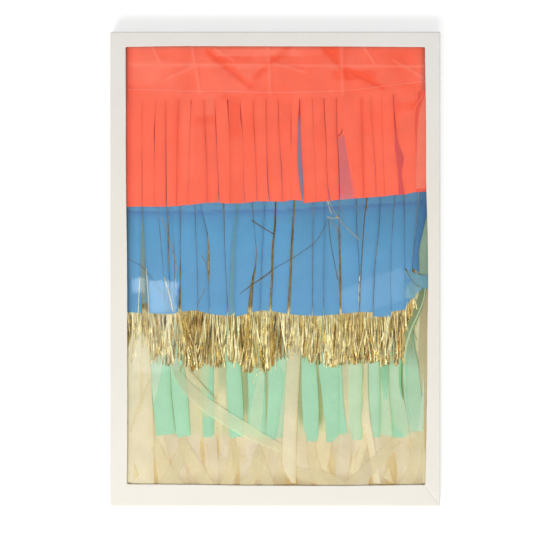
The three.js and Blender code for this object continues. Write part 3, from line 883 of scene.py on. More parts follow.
# Single sheets that close two of the gaps: edges (y, left, right), foot and tint
BLUE_VEILS = (
    (((45, -29.5, -26.5), (15, -32.8, -28.6), (-11, -34, -29.2), (-33, -34.5, -29.5)), (-33.5, -34.0),
     (0.8, 0.95, 0.95)),
    (((45, -97.5, -95.6), (23, -98, -94.8), (-4, -98, -94.2), (-31, -98, -93)), (-26, -24),
     (1.35, 0.9, 0.62)),
)
# Strips turned over at the right: points (x, y, height over the layer), widths and tint
BLUE_FLAPS = (
    (((94.2, -1.5, 0.1), (99, -4.5, 0.3), (105.5, -8.6, 0.4), (111.5, -9.6, 0.2)), (1.5, 5.5, 8.5, 10.5),
     (0.8, 0.95, 0.95)),
    (((103.3, -11, 0.0), (98.8, -16.5, 0.15), (97.6, -21.5, 0.0)), (9.5, 9.5, 6), (1.0, 1.05, 1.05)),
)


def blue_shade(x, y):
    """Painted light in a band above the step, a painted shadow below it with the coral behind showing
    through, and painted shade at the left fold.
    """
    below = under_band(x, y)
    # A painted lighter band above the step, and a painted shadow below it tinted by the coral
    above = 1 - smooth(below / 0.7)
    behind = (1 - above) * np.exp(-np.maximum(below, 0) / 3.6)
    shown = 1 + above[..., None] * np.array((0.08, -0.11, -0.13))
    shown = shown - behind[..., None] * np.array((0.3, 0.5, 0.3))
    # Darker in the upper part near the step, most in its right half, darker at the far right, and less red
    # in the upper part
    level = 1 - 0.14 * smooth((y + 5) / 45) * smooth((x + 10) / 60) - 0.04 * smooth((y - 10) / 30)
    shown = shown * (level * (1 - 0.08 * smooth((x - 84) / 14)))[..., None]
    shown = shown * mixed(1, (0.86, 1, 1), smooth((y + 10) / 45))
    # Under the coral the blue is in its shade, and takes on its colour, least in the coral's widest slit
    wide = smooth((4 - np.abs(x - 18)) / 1.5)
    covered = smooth((y - line_at(CORAL_ENDS, x) - 1) / 4) * (1 - 0.45 * wide)
    covered = np.maximum(covered, smooth((y - 100) / 14) * wide)
    narrow = mixed((1.6, 0.2, 0.3), (5.2, 0.03, 0.012), smooth((y - 86) / 16))
    open_wide = mixed((3.0, 0.46, 0.33), (5.0, 0.1, 0.06), smooth((y - 72) / 42))
    # Painted shade towards the left fold
    painted_shade = 1 - 0.72 * smooth((-102.5 - x) / 6)
    return mixed(shown, mixed(narrow, open_wide, wide), covered) * painted_shade[..., None]


def make_blue():
    cloth = Cloth("blue_tissue_fringe", [blue_tissue, blue_thin], BLUE_SLOT)
    header_front(cloth)
    fringe_front(cloth, BLUE_SLITS, BLUE_ENDS, rows=96, columns=7, shade=blue_shade)
    options = {"rows": 96, "shade": blue_shade}
    strip(cloth, BLUE_SLITS[-1], BLUE_SLITS_RIGHT[0], (-31, -31), -0.1, columns=4, **options)
    for before, after in zip(BLUE_SLITS_RIGHT, BLUE_SLITS_RIGHT[1:]):
        strip(cloth, before, after, line_at(BLUE_ENDS, [before[-1][1] + 0.6, after[-1][1] - 0.6]), **options)
    strip(cloth, BLUE_SLITS_RIGHT[-1], BLUE_LAST, (-29.8, -22.5), **options)
    # The last strip at the right is painted darker, as shade
    strip(cloth, BLUE_LAST, BLUE_EDGE, (1, -3), -0.1, tint=(0.62, 0.7, 0.8), rows=70, shade=blue_shade)
    for edges, ends, tint in BLUE_VEILS:
        edged_strip(cloth, edges, ends, -0.2, 1, tint, shade=blue_shade)
    for points, widths, tint in BLUE_FLAPS:
        ribbon(cloth, raised(BLUE_SLOT, points), widths, tint, 1, columns=6, crown=0.12)
    folded_part(cloth, drop_of(blue_low), 4, 12)
    return cloth.make()


# Gold foil

GOLD_ENDS = (
    (-113, -64), (-105, -68), (-91, -68.5), (-84, -68.5), (-77.5, -70), (-69.5, -66), (-65, -71.5),
    (-59, -74), (-51.5, -70.5), (-47, -70.5), (-40.5, -72.5), (-34.5, -67.5), (-30, -68), (-22.5, -74),
    (-11.5, -74.5), (-5.5, -75), (-2.5, -72), (4, -65), (11.5, -59), (18, -62), (27.5, -68.5), (38, -71),
    (49, -70.5), (58, -68.5), (67.5, -67.5), (77.5, -70.5), (86.5, -69.5), (92, -68.5), (95, -52),
    (101, -30),
)
# How bright the strands are painted along the fringe, as reflection and shade on the foil
GOLD_TONES = (
    (-113, 0.75), (-104, 1.05), (-84, 1.0), (-78, 0.95), (-70, 0.8), (-62, 0.6), (-52, 0.68), (-44, 1.0),
    (-30, 1.05), (-20, 0.9), (-12, 1.15), (-5, 1.2), (0, 0.68), (10, 0.95), (20, 1.0), (30, 1.15),
    (40, 1.15), (48, 1.0), (60, 0.8), (75, 0.85), (84, 1.1), (92, 0.7), (101, 0.75),
)
# The strands' ranks, the deepest first: how many, how bright (the deeper painted darker, as shade), how
# wide, how far they stand up when free
GOLD_RANKS = ((330, 0.65, 1.3, -0.05), (320, 1.0, 1.0, 0.2), (260, 1.3, 0.8, 0.6))
# The height where a strand comes out from under the blue, on the left and at the far right
GOLD_FREE_BELOW, GOLD_FREE_RIGHT = -29, -19
GOLD_RIGHT = 101
# The foil's colour from its darkest turn to its brightest, in red, green and blue: painted reflection and
# shade
FOIL_TONES = (0, 0.2, 0.4, 0.7, 1.0, 1.25)
FOIL_CHANNELS = (
    (0.14, 0.3, 0.47, 0.71, 0.94, 1.0),
    (0.095, 0.205, 0.35, 0.62, 0.94, 1.1),
    (0.01, 0.03, 0.12, 0.41, 0.85, 1.22),
)
# Where the strands draw together at their feet: place, reach to each side and how much
GOLD_BUNDLES = (
    (-102, 6, 0.3), (-86, 6, 0.3), (-77, 5, 0.4), (-60, 16, 0.72), (-40, 7, 0.5), (-32, 5, 0.3),
    (-20, 8, 0.65), (-5, 9, 0.7), (9, 5, 0.3), (22, 7, 0.45), (31, 4, 0.4), (41, 7, 0.6), (49, 4, 0.3),
    (58, 7, 0.6), (68, 5, 0.4), (80, 7, 0.6), (88, 4, 0.4),
)
# Single strands over the cream at the left: top and foot, in X and Y
GOLD_SINGLES = (
    (-95.6, -33, -104.4, -67), (-103, -31, -104.7, -68), (-98.5, -31, -96.8, -58), (-90.4, -33, -92.2, -61),
    (-107.5, -31, -106.3, -66), (-92.8, -31, -89.5, -66), (-101, -31, -100.2, -52),
)
GOLD_HEADER_TINT, GOLD_BAND_TINT = (0.6, 0.55, 0.5), (0.7, 0.65, 0.6)
# The folded foil is cut into strands only this far below the slits
GOLD_CUT_DROP = SLIT_DROP + 60


def free_below(x):
    return GOLD_FREE_BELOW + (GOLD_FREE_RIGHT - GOLD_FREE_BELOW) * float(smooth((x - 94.5) / 2))


# The colour that paints a strand's reflection and shade, from how bright it is
def gold_tint(tone, chance):
    tone = tone * chance.uniform(0.9, 1.1)
    return np.array([np.interp(tone, FOIL_TONES, channel) for channel in FOIL_CHANNELS])


def drawn_in(x):
    """How far a strand's foot moves towards the nearest bundle."""
    moved = 0
    for middle, reach, much in GOLD_BUNDLES:
        moved += (middle - x) * much * smooth((reach - abs(middle - x)) / (0.5 * reach))
    return moved


def strand(cloth, chance, x, top, foot, high, tone, width, lean, wander):
    """One strand of foil hanging from top to foot, turning as it goes once it is clear of the blue."""
    t = np.linspace(0, 1, max(8, int((top - foot) / 5)))
    phase, swing = chance.uniform(0, 6), chance.uniform(0.3, 1) * wander
    clear = free_below(x)
    hanging = np.clip((clear + 6 - (top + (foot - top) * t)) / (clear + 6 - foot), 0, 1)
    xs = x + lean * hanging ** 1.3 + swing * np.sin(phase + hanging * chance.uniform(2, 8)) * hanging
    xs = xs + chance.uniform(0, 0.25) * np.sin(hanging * chance.uniform(14, 30) + phase) * hanging
    ys = top + (foot - top) * t
    free = smooth((clear - ys) / 7)
    zs = front_height(GOLD_SLOT, xs, ys) + (high + 0.1 * np.sin(phase * 2 + t * 9)) * free
    rate, start = chance.uniform(0.03, 0.16), chance.uniform(-0.9, 0.9)
    sway = chance.uniform(0.2, 1.1)
    covered = top - clear

    def turn(places):
        return (start + sway * np.sin(places * rate + phase)) * (0.2 + 0.8 * smooth((places - covered) / 8))

    # Painted shade where the strand lies under the blue
    def shade(y):
        return 0.3 + 0.7 * smooth((clear + 2 - y) / 5)

    ribbon(cloth, np.stack([xs, ys, zs], axis=-1), width, gold_tint(tone, chance), 0, 2, 2.6, 0, turn, shade)


def gold_folded(cloth, chance):
    """The foil behind the front panel: whole at the top, and strands below."""
    whole = turn_samples(FIRST_RUN, WHOLE_RUN, 12)
    folded_strip(cloth, whole, np.linspace(INNER_TOP, GOLD_CUT_DROP, 5), tint=GOLD_BAND_TINT)
    place, end_drop = FIRST_RUN, drop_of(gold_low)
    while place < WHOLE_RUN - 1:
        end = place + chance.uniform(0.9, 1.9)
        drops = np.linspace(GOLD_CUT_DROP, end_drop - 10 * chance.random(), 5)
        tone = chance.uniform(0.4, 1.1)
        samples = np.array([place, min(end - 0.15, WHOLE_RUN)])
        folded_strip(cloth, samples, drops, chance.uniform(-0.8, 0.8), (tone, tone * 0.95, tone * 0.85))
        place = end


def make_gold():
    cloth = Cloth("gold_foil_strands", [gold_foil], GOLD_SLOT)
    chance = random.Random(SEED + 3)
    header_front(cloth, tint=GOLD_HEADER_TINT)
    for rank, (count, bright, width, high) in enumerate(GOLD_RANKS):
        for number in range(count):
            x = -FOLD_START + (GOLD_RIGHT + FOLD_START) * (number + chance.random()) / count
            foot = line_at(GOLD_ENDS, x) + chance.uniform(-1.5, 4.5 + 3 * (rank == 2))
            tone = line_at(GOLD_TONES, x) * bright * chance.uniform(0.45, 1.4)
            lean = chance.gauss(0, 0.9 + 1.3 * rank) + drawn_in(x)
            top = slit_top(x) if rank < 2 else free_below(x) + 4
            stands, wide = high * chance.uniform(0.5, 1), width * chance.uniform(0.6, 1.25)
            strand(cloth, chance, x, top, foot, stands, tone, wide, lean, 0.5 + 0.5 * rank)
    for x, top, foot_x, foot in GOLD_SINGLES:
        tone, wide = chance.uniform(0.9, 1.2), chance.uniform(0.5, 0.8)
        strand(cloth, chance, x, top, foot, 1.0, tone, wide, foot_x - x, 0.8)
    gold_folded(cloth, chance)
    return cloth.make()


# Mint: each strip's left and right edges down its length, its foot, and how it lies
MINT_STRIPS = (
    (((-30, -93.5, -79), (-66, -92.5, -77), (-95, -89.5, -75.4), (-121, -86.5, -72.4)), (-121.5, -119.8),
     0.05, 0),
    (((-72, -76.2, -66.5), (-95, -75.0, -63.5), (-104, -74.0, -63), (-122, -71.9, -61.5)), (-123, -121),
     0.1, 0),
    (((-71, -54, -44.5), (-88, -53.5, -45), (-123, -52.5, -44.5)), (-123, -124), 0.05, 0),
    (((-68, -36, -25.5), (-88, -35.5, -24), (-122, -33.5, -22.5)), (-123.4, -121.6), 0.1, 0),
    (((-72, -20.5, -7.5), (-95, -19.5, -7), (-122, -20.5, -7)), (-122.5, -123.2), 0.0, 0),
    (((-66, -6, 8), (-88, -5, 5.6), (-107, -6, 3.4), (-123, -7, 0.5)), (-123.4, -124.2), 0.15, 0),
    (((-72, 0, 8.6), (-95, 0, 8.0), (-122, -1, 6.0)), (-123.0, -123.2), 0.0, 1),
    (((-66, 19, 29.5), (-95, 19.3, 31.5), (-125, 21.5, 31.5)), (-125.6, -125.4), 0.1, 0),
    (((-68, 44, 48), (-112, 45, 51.5), (-120, 45, 53)), (-120.4, -120.6), -0.05, 0),
    (((-68, 31, 47), (-88, 33.5, 47), (-120, 37, 47.2)), (-126.0, -126.4), 0.12, 0),
    (((-68, 53.5, 63.5), (-124, 53.5, 63.5)), (-124.6, -124.4), 0.0, 1),
    (((-66, 68, 76), (-95, 68, 76.5), (-123, 70, 76.5)), (-123.6, -123.4), 0.12, 0),
    (((-70, 76.5, 82), (-95, 76.5, 83), (-123, 76.5, 85.5)), (-123.2, -122.6), 0.0, 1),
    (((-70, 82.5, 91.5), (-88, 83, 91.5), (-113, 85, 93.5), (-123, 85.5, 94)), (-123.0, -122.4), 0.0, 0),
    (((-70, 83, 91.8), (-88, 83.5, 91.8), (-104, 85, 95.5), (-113, 86.5, 97), (-121, 93.8, 97.5)),
     (-122.4, -120.6), 0.25, 1),
    (((-40, 95, 101), (-55, 93.5, 102), (-88, 93.5, 107), (-104, 95.5, 107), (-118, 98.5, 107)),
     (-118.4, -117.4), 0.15, 0),
)
# Mint strips that swing out past the blue at the right, painted with shade, and dark ribbons of painted
# shade along folds and a crease: points (x, y, height over the layer), widths, sheet and tint
MINT_SWUNG = (
    (((110.5, 42, 0.2), (109.5, 22, 0.5), (109, 8, 0.6), (108.5, -8, 0.5)), (3, 7, 9, 9),
     0, ((0.66, 0.56, 0.62), (0.6, 0.52, 0.56))),
    (((108, -13, 0.5), (105.5, -24, 0.8), (101.5, -35, 0.9), (97.5, -47, 0.8), (98.2, -58, 0.8),
      (100, -70, 0.8), (101, -88, 0.75), (102.5, -117.5, 0.75)), (5, 5, 5.5, 6.5, 8, 10, 11.5, 8.5),
      0, ((0.4, 0.33, 0.24), (0.55, 0.4, 0.28), (0.6, 0.44, 0.29), (0.74, 0.61, 0.54), (1.03, 0.9, 0.9),
          (1.03, 0.91, 0.88), (1.1, 0.93, 0.93), (1.22, 0.98, 1.0))),
    (((109.5, -12, 0.8), (108.0, -22, 1.2), (103.8, -33, 1.4), (98.9, -44, 1.4), (95.4, -56, 1.1),
      (94.2, -72, 0.8), (95.5, -94, 0.85)), (0.6, 0.9, 1.1, 1.2, 1.3, 1.0, 0.3), 1, (0.95, 0.95, 0.85)),
    (((91.8, -66, 0.6), (90.8, -76, 0.75), (91.4, -88, 0.75), (93.0, -95, 0.6)), (1.0, 1.6, 1.4, 0.4),
     0, (0.6, 0.8, 0.55)),
    (((93.6, -84, 0.95), (96, -98, 1.05), (98.7, -113, 1.0)), (0.4, 0.6, 0.4), 1, (0.72, 0.85, 0.95)),
    (((-86.5, -62, 0.6), (-87.2, -80, 0.7), (-88.3, -97, 0.55)), (10, 7, 1), 1, (1.06, 1.0, 1.05)),
    (((108.2, -80, 1.2), (107.6, -94, 1.3), (105.9, -118, 1.2)), (0.5, 2.4, 4), 1, (1.06, 1.0, 1.06)),
    (((79.2, -64, 0.35), (79.6, -80, 0.35), (80.4, -95, 0.3)), (5.2, 5.2, 3),
     0, ((0.6, 0.76, 0.6), (0.75, 0.84, 0.72), (1.0, 0.98, 0.94))),
)
# The mint strips that are paler than the rest
MINT_PALE = {11: (1.16, 1.0, 1.02)}


def make_mint():
    cloth = Cloth("mint_tissue_fringe", [mint_tissue, mint_thin], MINT_SLOT)
    header_front(cloth)
    for number, (edges, ends, lift, kind) in enumerate(MINT_STRIPS):
        lifts = ((0, 0), (-62, 0), (-78, 0.05 + lift), (-125, 0.15 + lift))
        edged_strip(cloth, edges, ends, lifts, kind, MINT_PALE.get(number, (1, 1, 1)))
    for points, widths, kind, tint in MINT_SWUNG:
        ribbon(cloth, raised(MINT_SLOT, points), widths, tint, kind, columns=6)
    folded_part(cloth, drop_of(mint_low), 5, 13)
    return cloth.make()


# Cream

# Thin cream strips that lie over the other colours: edges (y, left, right), foot and lift (y, lift)
CREAM_OVER = (
    (((-25, -104, -96), (-53, -106, -92.5), (-66, -112, -91), (-95, -112, -89.5), (-130, -112, -88),
      (-150, -112, -88)), (-157, -158),
      ((0, 0), (-40, 0.7), (-52, 1.4), (-62, 1.7), (-75, 1.6), (-95, 1.3), (-130, 1.6), (-150, 2.2),
       (-158, 2.4))),
    (((-25, 10.5, 13), (-40, 9.5, 17), (-57, 9, 18.3), (-88, 7.5, 17), (-124, 5.5, 15.5), (-137, 5, 15.3),
      (-145, 5.6, 15.2), (-153, 11, 15)), (-155, -156),
      ((0, 0), (-24, 0.4), (-31, 0.9), (-38, 1.0), (-62, 1.1), (-72, 1.4), (-124, 1.6), (-140, 2.2),
       (-156, 2.5))),
    (((-60, 64, 67.5), (-88, 64.5, 67.5), (-116, 63.5, 70), (-124, 66, 71.5), (-155, 71, 76.5)),
     (-155.5, -156), ((0, 0), (-62, 0.6), (-74, 1.3), (-120, 1.4), (-140, 2.2), (-156, 2.5))),
)
# Cream strips that lie across, with painted shade on their edges: points (x, y, height over the cream
# layer), widths, sheet, tint and edges
# Dark ribbons of painted shadow lie along the window's right edge, and faint painted creases in the left
# column
CREAM_ACROSS = (
    (((-73.5, -64, 0.7), (-72.5, -71, 1.0), (-68.6, -80.5, 1.2), (-57.8, -92.6, 1.3), (-42.2, -104.6, 1.35),
      (-26.6, -114.2, 1.4), (-12.2, -122.5, 1.5), (-2, -127.5, 1.6), (6, -132, 1.3)),
     (6, 7, 9, 10, 10, 10, 8, 5),
     3, ((0.6, 0.72, 0.72), (0.62, 0.75, 0.76), (0.76, 0.86, 0.9), (0.88, 1.02, 1.08), (0.89, 1.09, 1.17),
         (0.89, 1.08, 1.15), (0.93, 1.02, 1.05), (0.96, 1.0, 1.0)), -0.06),
    (((-9.5, -66, 0.7), (-10.5, -80, 1.25), (-12.5, -95, 1.3), (-14.5, -113, 1.3), (-15, -122, 0.9)),
     (3, 6, 9, 9), 3, (0.78, 1.08, 1.2), 0),
    (((-50.5, -66, 0.8), (-52, -84, 1.0), (-51.2, -100, 0.9), (-48, -116, 0.3)), (7, 6.5, 5, 3),
     3, (0.8, 0.96, 0.95), 0),
    (((-91.3, -80, 1.5), (-95, -90, 1.65), (-100.3, -103.6, 1.65), (-105.9, -119, 1.5)),
     (1.0, 2.4, 2.0, 0.8), 3, (0.97, 0.94, 0.9), 0),
    (((-98, -64, 1.6), (-97.5, -82, 1.65), (-98, -104, 1.5)), (1.6, 2.6, 0.8), 3, (0.97, 0.95, 0.92), 0),
    (((8, -146, 2.0), (24, -150, 2.35), (38, -152.5, 2.35), (50, -159, 2.4)), (7, 9, 9, 8),
     3, (0.96, 0.95, 0.94), 0.12),
    (((-90, -119, 0.1), (-86, -132, 1.7), (-79, -146, 2.3), (-70, -159, 2.4)), (5, 8, 10, 8), 3, (1, 1, 1),
     0.14),
    (((54, -159, 2.4), (68, -146, 2.4), (80, -134, 2.0), (92, -121, 0.1)), (10, 10, 9, 7),
     3, (0.95, 0.94, 0.95), 0.12),
    (((-48, -159, 2.45), (-56, -146, 2.35), (-64, -134, 1.9), (-70, -121, 0.1)), (9, 9, 9, 7),
     3, (1, 0.99, 0.98), 0.14),
    (((-82, -159, 2.4), (-72, -143, 2.3), (-64, -122, 0.1)), (9, 9, 8), 3, (0.97, 0.97, 0.96), 0.14),
    (((62, -159, 2.45), (66, -146, 2.4), (73, -121, 0.1)), (10, 9, 7), 3, (0.93, 0.93, 1.02), 0.1),
    (((-22, -159, 2.4), (-14, -144, 2.3), (-8, -121, 0.1)), (9, 9, 7), 3, (1, 0.99, 0.97), 0.12),
    (((-4, -159, 2.4), (-10, -144, 2.3), (-17, -121, 0.1)), (8, 9, 7), 3, (0.96, 0.95, 0.93), 0.12),
    (((36, -159, 2.45), (28, -142, 2.3), (25, -122, 0.1)), (8, 8, 6), 3, (1, 0.98, 0.95), 0.12),
    (((-36, -159, 2.4), (-31, -142, 2.3), (-29, -121, 0.1)), (9, 9, 7), 3, (0.98, 0.97, 0.93), 0.12),
    (((94, -159, 2.4), (101, -144, 2.3), (103.5, -117, 0.1)), (9, 9, 7), 3, (0.97, 0.97, 1.0), 0.12),
    (((112.3, -24, 1.5), (111.3, -60, 1.6), (110.3, -100, 1.6), (109.3, -157, 2.0)), (3.2, 3.2, 3.2, 3.2),
     0, (0.75, 0.7, 0.62), 0),
    (((113.5, -8, 1.2), (112, -30, 1.3), (110.0, -60, 1.3), (109.0, -95, 1.2), (108.0, -120, 1.3),
      (107.5, -156, 2.1)), (11, 12, 11, 9, 8, 7),
      0, ((0.54, 0.54, 0.46), (0.56, 0.56, 0.49), (0.62, 0.66, 0.6), (0.7, 0.77, 0.76), (0.84, 0.87, 0.86),
          (0.95, 0.95, 0.95)), 0.1),
)
# Tan patches of painted shade in the folds and gaps between the loose strips at the foot: corners of each,
# in X and Y
CREAM_SHADE_PATCHES = (
    ((-69.5, -129.5), (-65, -138.6), (-61.7, -127.3)), ((-86.5, -140.8), (-77.5, -149.8), (-84.7, -154.2)),
    ((-50.8, -127.3), (-49.2, -127.3), (-48.2, -145.3)), ((-49.5, -143), (-52, -157), (-45.5, -147)),
    ((-10.9, -130.6), (-8.6, -136), (-14.8, -148.7)), ((-82, -128), (-79.5, -141), (-84, -134)),
    ((-32, -128), (-30, -146), (-33.5, -154)), ((3.5, -138), (5.5, -148), (13, -156)),
    ((15.6, -147.2), (24, -149.4), (18, -150.2)),
    ((38, -139), (40.8, -150.5), (35, -154)), ((57, -137), (62, -128), (56, -150)),
    ((80.9, -133.8), (93.6, -124.8), (84, -135.5)),
    ((97.5, -124.8), (99.2, -124.8), (103.9, -149.1)), ((-103, -140), (-99, -150), (-104, -156)),
    ((83, -143), (86, -156), (79, -152)),
    ((-24, -136), (-21.8, -136), (-25.5, -152)),
)
# The colour of the patches of painted shade
SHADE_PATCH_TINT = (0.86, 0.77, 0.56)
# Where the cream is painted with shade between the mint strips: place, reach to each side, down to where and
# how dark
CREAM_SHADE_GAPS = (
    (-113.5, 2, -100, 0.7), (-58, 5, -90, 0.25), (-38.3, 4.2, -94, 0.55), (-22.8, 4.2, -113, 1.0),
    (-7.2, 2.5, -118, 1.0),
    (18.8, 2.6, -120, 0.8), (32.5, 3, -121, 1.0), (50.5, 4, -100, 0.25), (65.5, 3, -88, 0.7),
    (77, 2, -80, 0.9),
    (93, 3, -100, 0.9),
)
CREAM_STRIPS = 22
CREAM_RIGHT = 108
# The loose thin strips at the foot: the middle of each at its top and at its foot, and its width
CREAM_TOP = (
    (-103, -101, 10), (-92, -97, 9), (-84, -80, 10), (-78.5, -66, 10), (-53, -75, 9), (-67, -51, 9),
    (-60, -58, 9.5), (-48, -46, 10), (-38, -33.5, 9), (-34, -40.5, 9), (-24, -19, 11), (-14, -22, 9),
    (-6, -9, 9.5), (3, -4, 9), (9, 3, 9), (17, 22, 10), (26, 24, 8), (37, 31, 11), (43, 49, 9), (52, 48, 10),
    (57, 64, 9), (66, 56, 9), (71, 76.5, 8.5), (82, 74, 9), (88, 95, 9), (98, 92, 9), (101, 104, 9),
)


def cream_shade(x, y):
    """Painted shade: olive between the mint strips, tan towards the foot and in a mottle of folds, with
    painted green light through the mint.
    """
    painted_shade = 0.12 * smooth((y + 124) / 5)
    for place, reach, foot, amount in CREAM_SHADE_GAPS:
        painted_shade = painted_shade + amount * smooth((reach - np.abs(x - place)) / 1.5) * smooth((y - foot) / 14)
    painted_shade = np.clip(painted_shade, 0, 1)
    shown = mixed(1, (0.45, 0.58, 0.42), painted_shade) * mixed(1, (0.8, 0.73, 0.63), smooth((-146 - y) / 11))
    shown = shown * mixed(1, (0.904, 0.872, 0.808), (1 - painted_shade) * (0.5 + 0.5 * roughly(x, y, 9, 12.5)))
    return shown * mixed(1, (0.98, 1.05, 0.97), smooth((y + 124) / 6))


def cream_under(x, y):
    """The lowest strips: painted tan shade where they show between the loose ones."""
    return cream_shade(x, y) * mixed(1, (0.94, 0.86, 0.7), smooth((-120 - y) / 6))


def over_shade(x, y):
    """The thin strips over the others lie in the shade of the gold at their tops, less so at the left."""
    return mixed(1, (0.82, 0.9, 0.85), smooth((y + 118) / 30) * (0.35 + 0.65 * smooth((x + 60) / 20)))


def shade_patch(cloth, corners):
    """A small tan sheet of painted shade between strips, a triangle that is darkest along its first side."""
    across = np.linspace(0, 1, 5)[None, :, None]
    down = np.linspace(0, 1, 7)[:, None, None]
    first, second, third = np.array(corners, float)
    points = first + (second - first) * down + (third - second) * across * down
    x, y = points[..., 0], points[..., 1]
    lift = np.interp(y, (-158, -140, -126, -112), (2.44, 2.12, 1.12, 0.5))
    z = np.minimum(front_height(CREAM_SLOT, x, y) + lift, SHEET_CEILING)
    cloth.grid(np.stack([x, y, z], axis=-1), mixed(1, SHADE_PATCH_TINT, 0.85 - 0.55 * across[..., 0]), 1)


def cream_bed(cloth, chance):
    """The even strips that lie lowest, and rise towards the film at their feet."""
    pitch = (CREAM_RIGHT + FOLD_START) / CREAM_STRIPS
    for number in range(CREAM_STRIPS):
        middle = -FOLD_START + pitch * (number + 0.5)
        wide = pitch * chance.uniform(1.08, 1.25)
        edges = [(y, middle - wide / 2, middle + wide / 2) for y in (-20, -158)]
        foot = -158.6 + chance.uniform(-0.8, 0.4)
        rise, high = chance.uniform(1.2, 1.4), chance.uniform(1.9, 2.05)
        lifts = ((0, 0), (-116, 0), (-126, 0.3), (-140, rise), (-158, high))
        tone = chance.uniform(0.93, 1.02)
        tint = (tone, tone, tone * chance.uniform(0.95, 1.02))
        ends = (foot, foot + chance.uniform(-0.6, 0.6))
        edged_strip(cloth, edges, ends, lifts, 0, tint, shade=cream_under, crown=0.06, tilt=0)


def cream_loose(cloth, chance):
    """The thin strips over them, which cross each other at their feet."""
    for number, (middle_top, middle_foot, wide) in enumerate(CREAM_TOP):
        edges = []
        for y in (-20, -112, -158):
            middle = middle_top + (middle_foot - middle_top) * max(0, (-112 - y) / 46)
            edges.append((y, middle - wide / 2, middle + wide / 2))
        foot = -156.4 - chance.uniform(0, 2.4)
        high = 0.12 * (number % 4)
        lifts = ((0, 0), (-80, 0), (-112, 0.1), (-126, 0.55 + high))
        lifts = (*lifts, (-140, 1.55 + high), (-158, 2.15 + high / 2))
        tone = chance.uniform(0.94, 1.06)
        tint = (tone, tone, tone * chance.uniform(0.95, 1.08))
        ends = (foot, foot + chance.uniform(-1, 1))
        edged_strip(cloth, edges, ends, lifts, 1, tint, shade=cream_shade, crown=0.08, tilt=0)


def make_cream():
    cloth = Cloth("cream_tissue_fringe", [cream_tissue, cream_thin, cream_over, cream_sheer], CREAM_SLOT)
    chance = random.Random(SEED + 4)
    header_front(cloth)
    cream_bed(cloth, chance)
    cream_loose(cloth, chance)
    for corners in CREAM_SHADE_PATCHES:
        shade_patch(cloth, corners)
    for edges, ends, lifts in CREAM_OVER:
        edged_strip(cloth, edges, ends, lifts, 2, crown=0.1, shade=over_shade)
    for points, widths, kind, tint, edge in CREAM_ACROSS:
        ribbon(cloth, raised(CREAM_SLOT, points), widths, tint, kind, columns=10, edge=edge)
    folded_part(cloth, drop_of(cream_low), 6, 14)
    return cloth.make()


# Card pieces: rows of closed outlines, joined into one shell

LONG_STEPS, SHORT_STEPS, CORNER_STEPS = 200, 140, 5
CARD_THICK = 0.6
LID_FOLD, TRAY_FOLD = 0.7, 0.9
QUARTER_TURN = np.linspace(0, math.pi / 2, 7)
LEFT_RAIL, RIGHT_RAIL, TOP_RAIL, BOTTOM_RAIL = 11, 10.5, 10.5, 15.5
# How far the window's edges stand off straight lines: places along each edge, and offsets in X or Y
LEFT_OFF = ((-157, -112, -60, -3, 21, 43, 84, 127, 160), (1.1, 1.35, 1.3, 1.15, 0.95, 0.55, 0.25, 0.2, 0))
RIGHT_OFF = ((-157, -134, -91, -47, 0, 40, 62, 105, 157), (-0.3, 0.15, 0.85, 1.2, 1.7, 1.0, 0.35, 0.2, -0.5))
TOP_OFF = ((-105, -74, -30, 14, 57, 79, 104), (-0.3, 0.15, 0.1, 0, -0.1, -0.3, -0.5))
FOOT_OFF = ((-105, -74, -52, -30, 14, 57, 79, 104), (0.5, 0.25, 0.05, -0.35, -0.55, -0.6, -0.3, 0))
# How far the window's cut edge stands out at each height over the card's underside, and under its face
CUT_UNDER, CUT_OVER = ((-0.15, 0), (-0.08, 0.25)), ((0.02, 0.16), (0.12, 0.05))
# Painted shade on the cut edge, as the dark line inside the window: at the foot, at the sides and at the top
CUT_FOOT, CUT_SIDE, CUT_TOP = (0.92, 0.88, 0.82), (0.85, 0.78, 0.74), (0.56, 0.46, 0.42)


def outline(low, high, inset, radius):
    """A closed outline with rounded corners, the same number of points on each side whatever its size."""
    radius = max(radius, 0.02)
    left, bottom, right, top = low[0] + inset, low[1] + inset, high[0] - inset, high[1] - inset
    corners = ((right - radius, bottom + radius), (right - radius, top - radius),
               (left + radius, top - radius), (left + radius, bottom + radius))
    starts = ((left + radius, bottom), (right, bottom + radius), (right - radius, top), (left, top - radius))
    stops = ((right - radius, bottom), (right, top - radius), (left + radius, top), (left, bottom + radius))
    points = []
    for number, steps in enumerate((SHORT_STEPS, LONG_STEPS) * 2):
        t = np.arange(steps)[:, None] / steps
        points.append(np.array(starts[number]) * (1 - t) + np.array(stops[number]) * t)
        angles = np.radians(90 * (number - 1) + 90 * np.arange(CORNER_STEPS) / CORNER_STEPS)
        points.append(corners[number] + radius * np.stack([np.cos(angles), np.sin(angles)], axis=-1))
    return np.concatenate(points)


def at_height(points, z):
    return np.concatenate([points, np.full((len(points), 1), float(z))], axis=1)


def close_ring(rows):
    """Rows of closed outlines as one grid, its first column repeated at its end."""
    grid = np.array(rows)
    return np.concatenate([grid, grid[:, :1]], axis=1)


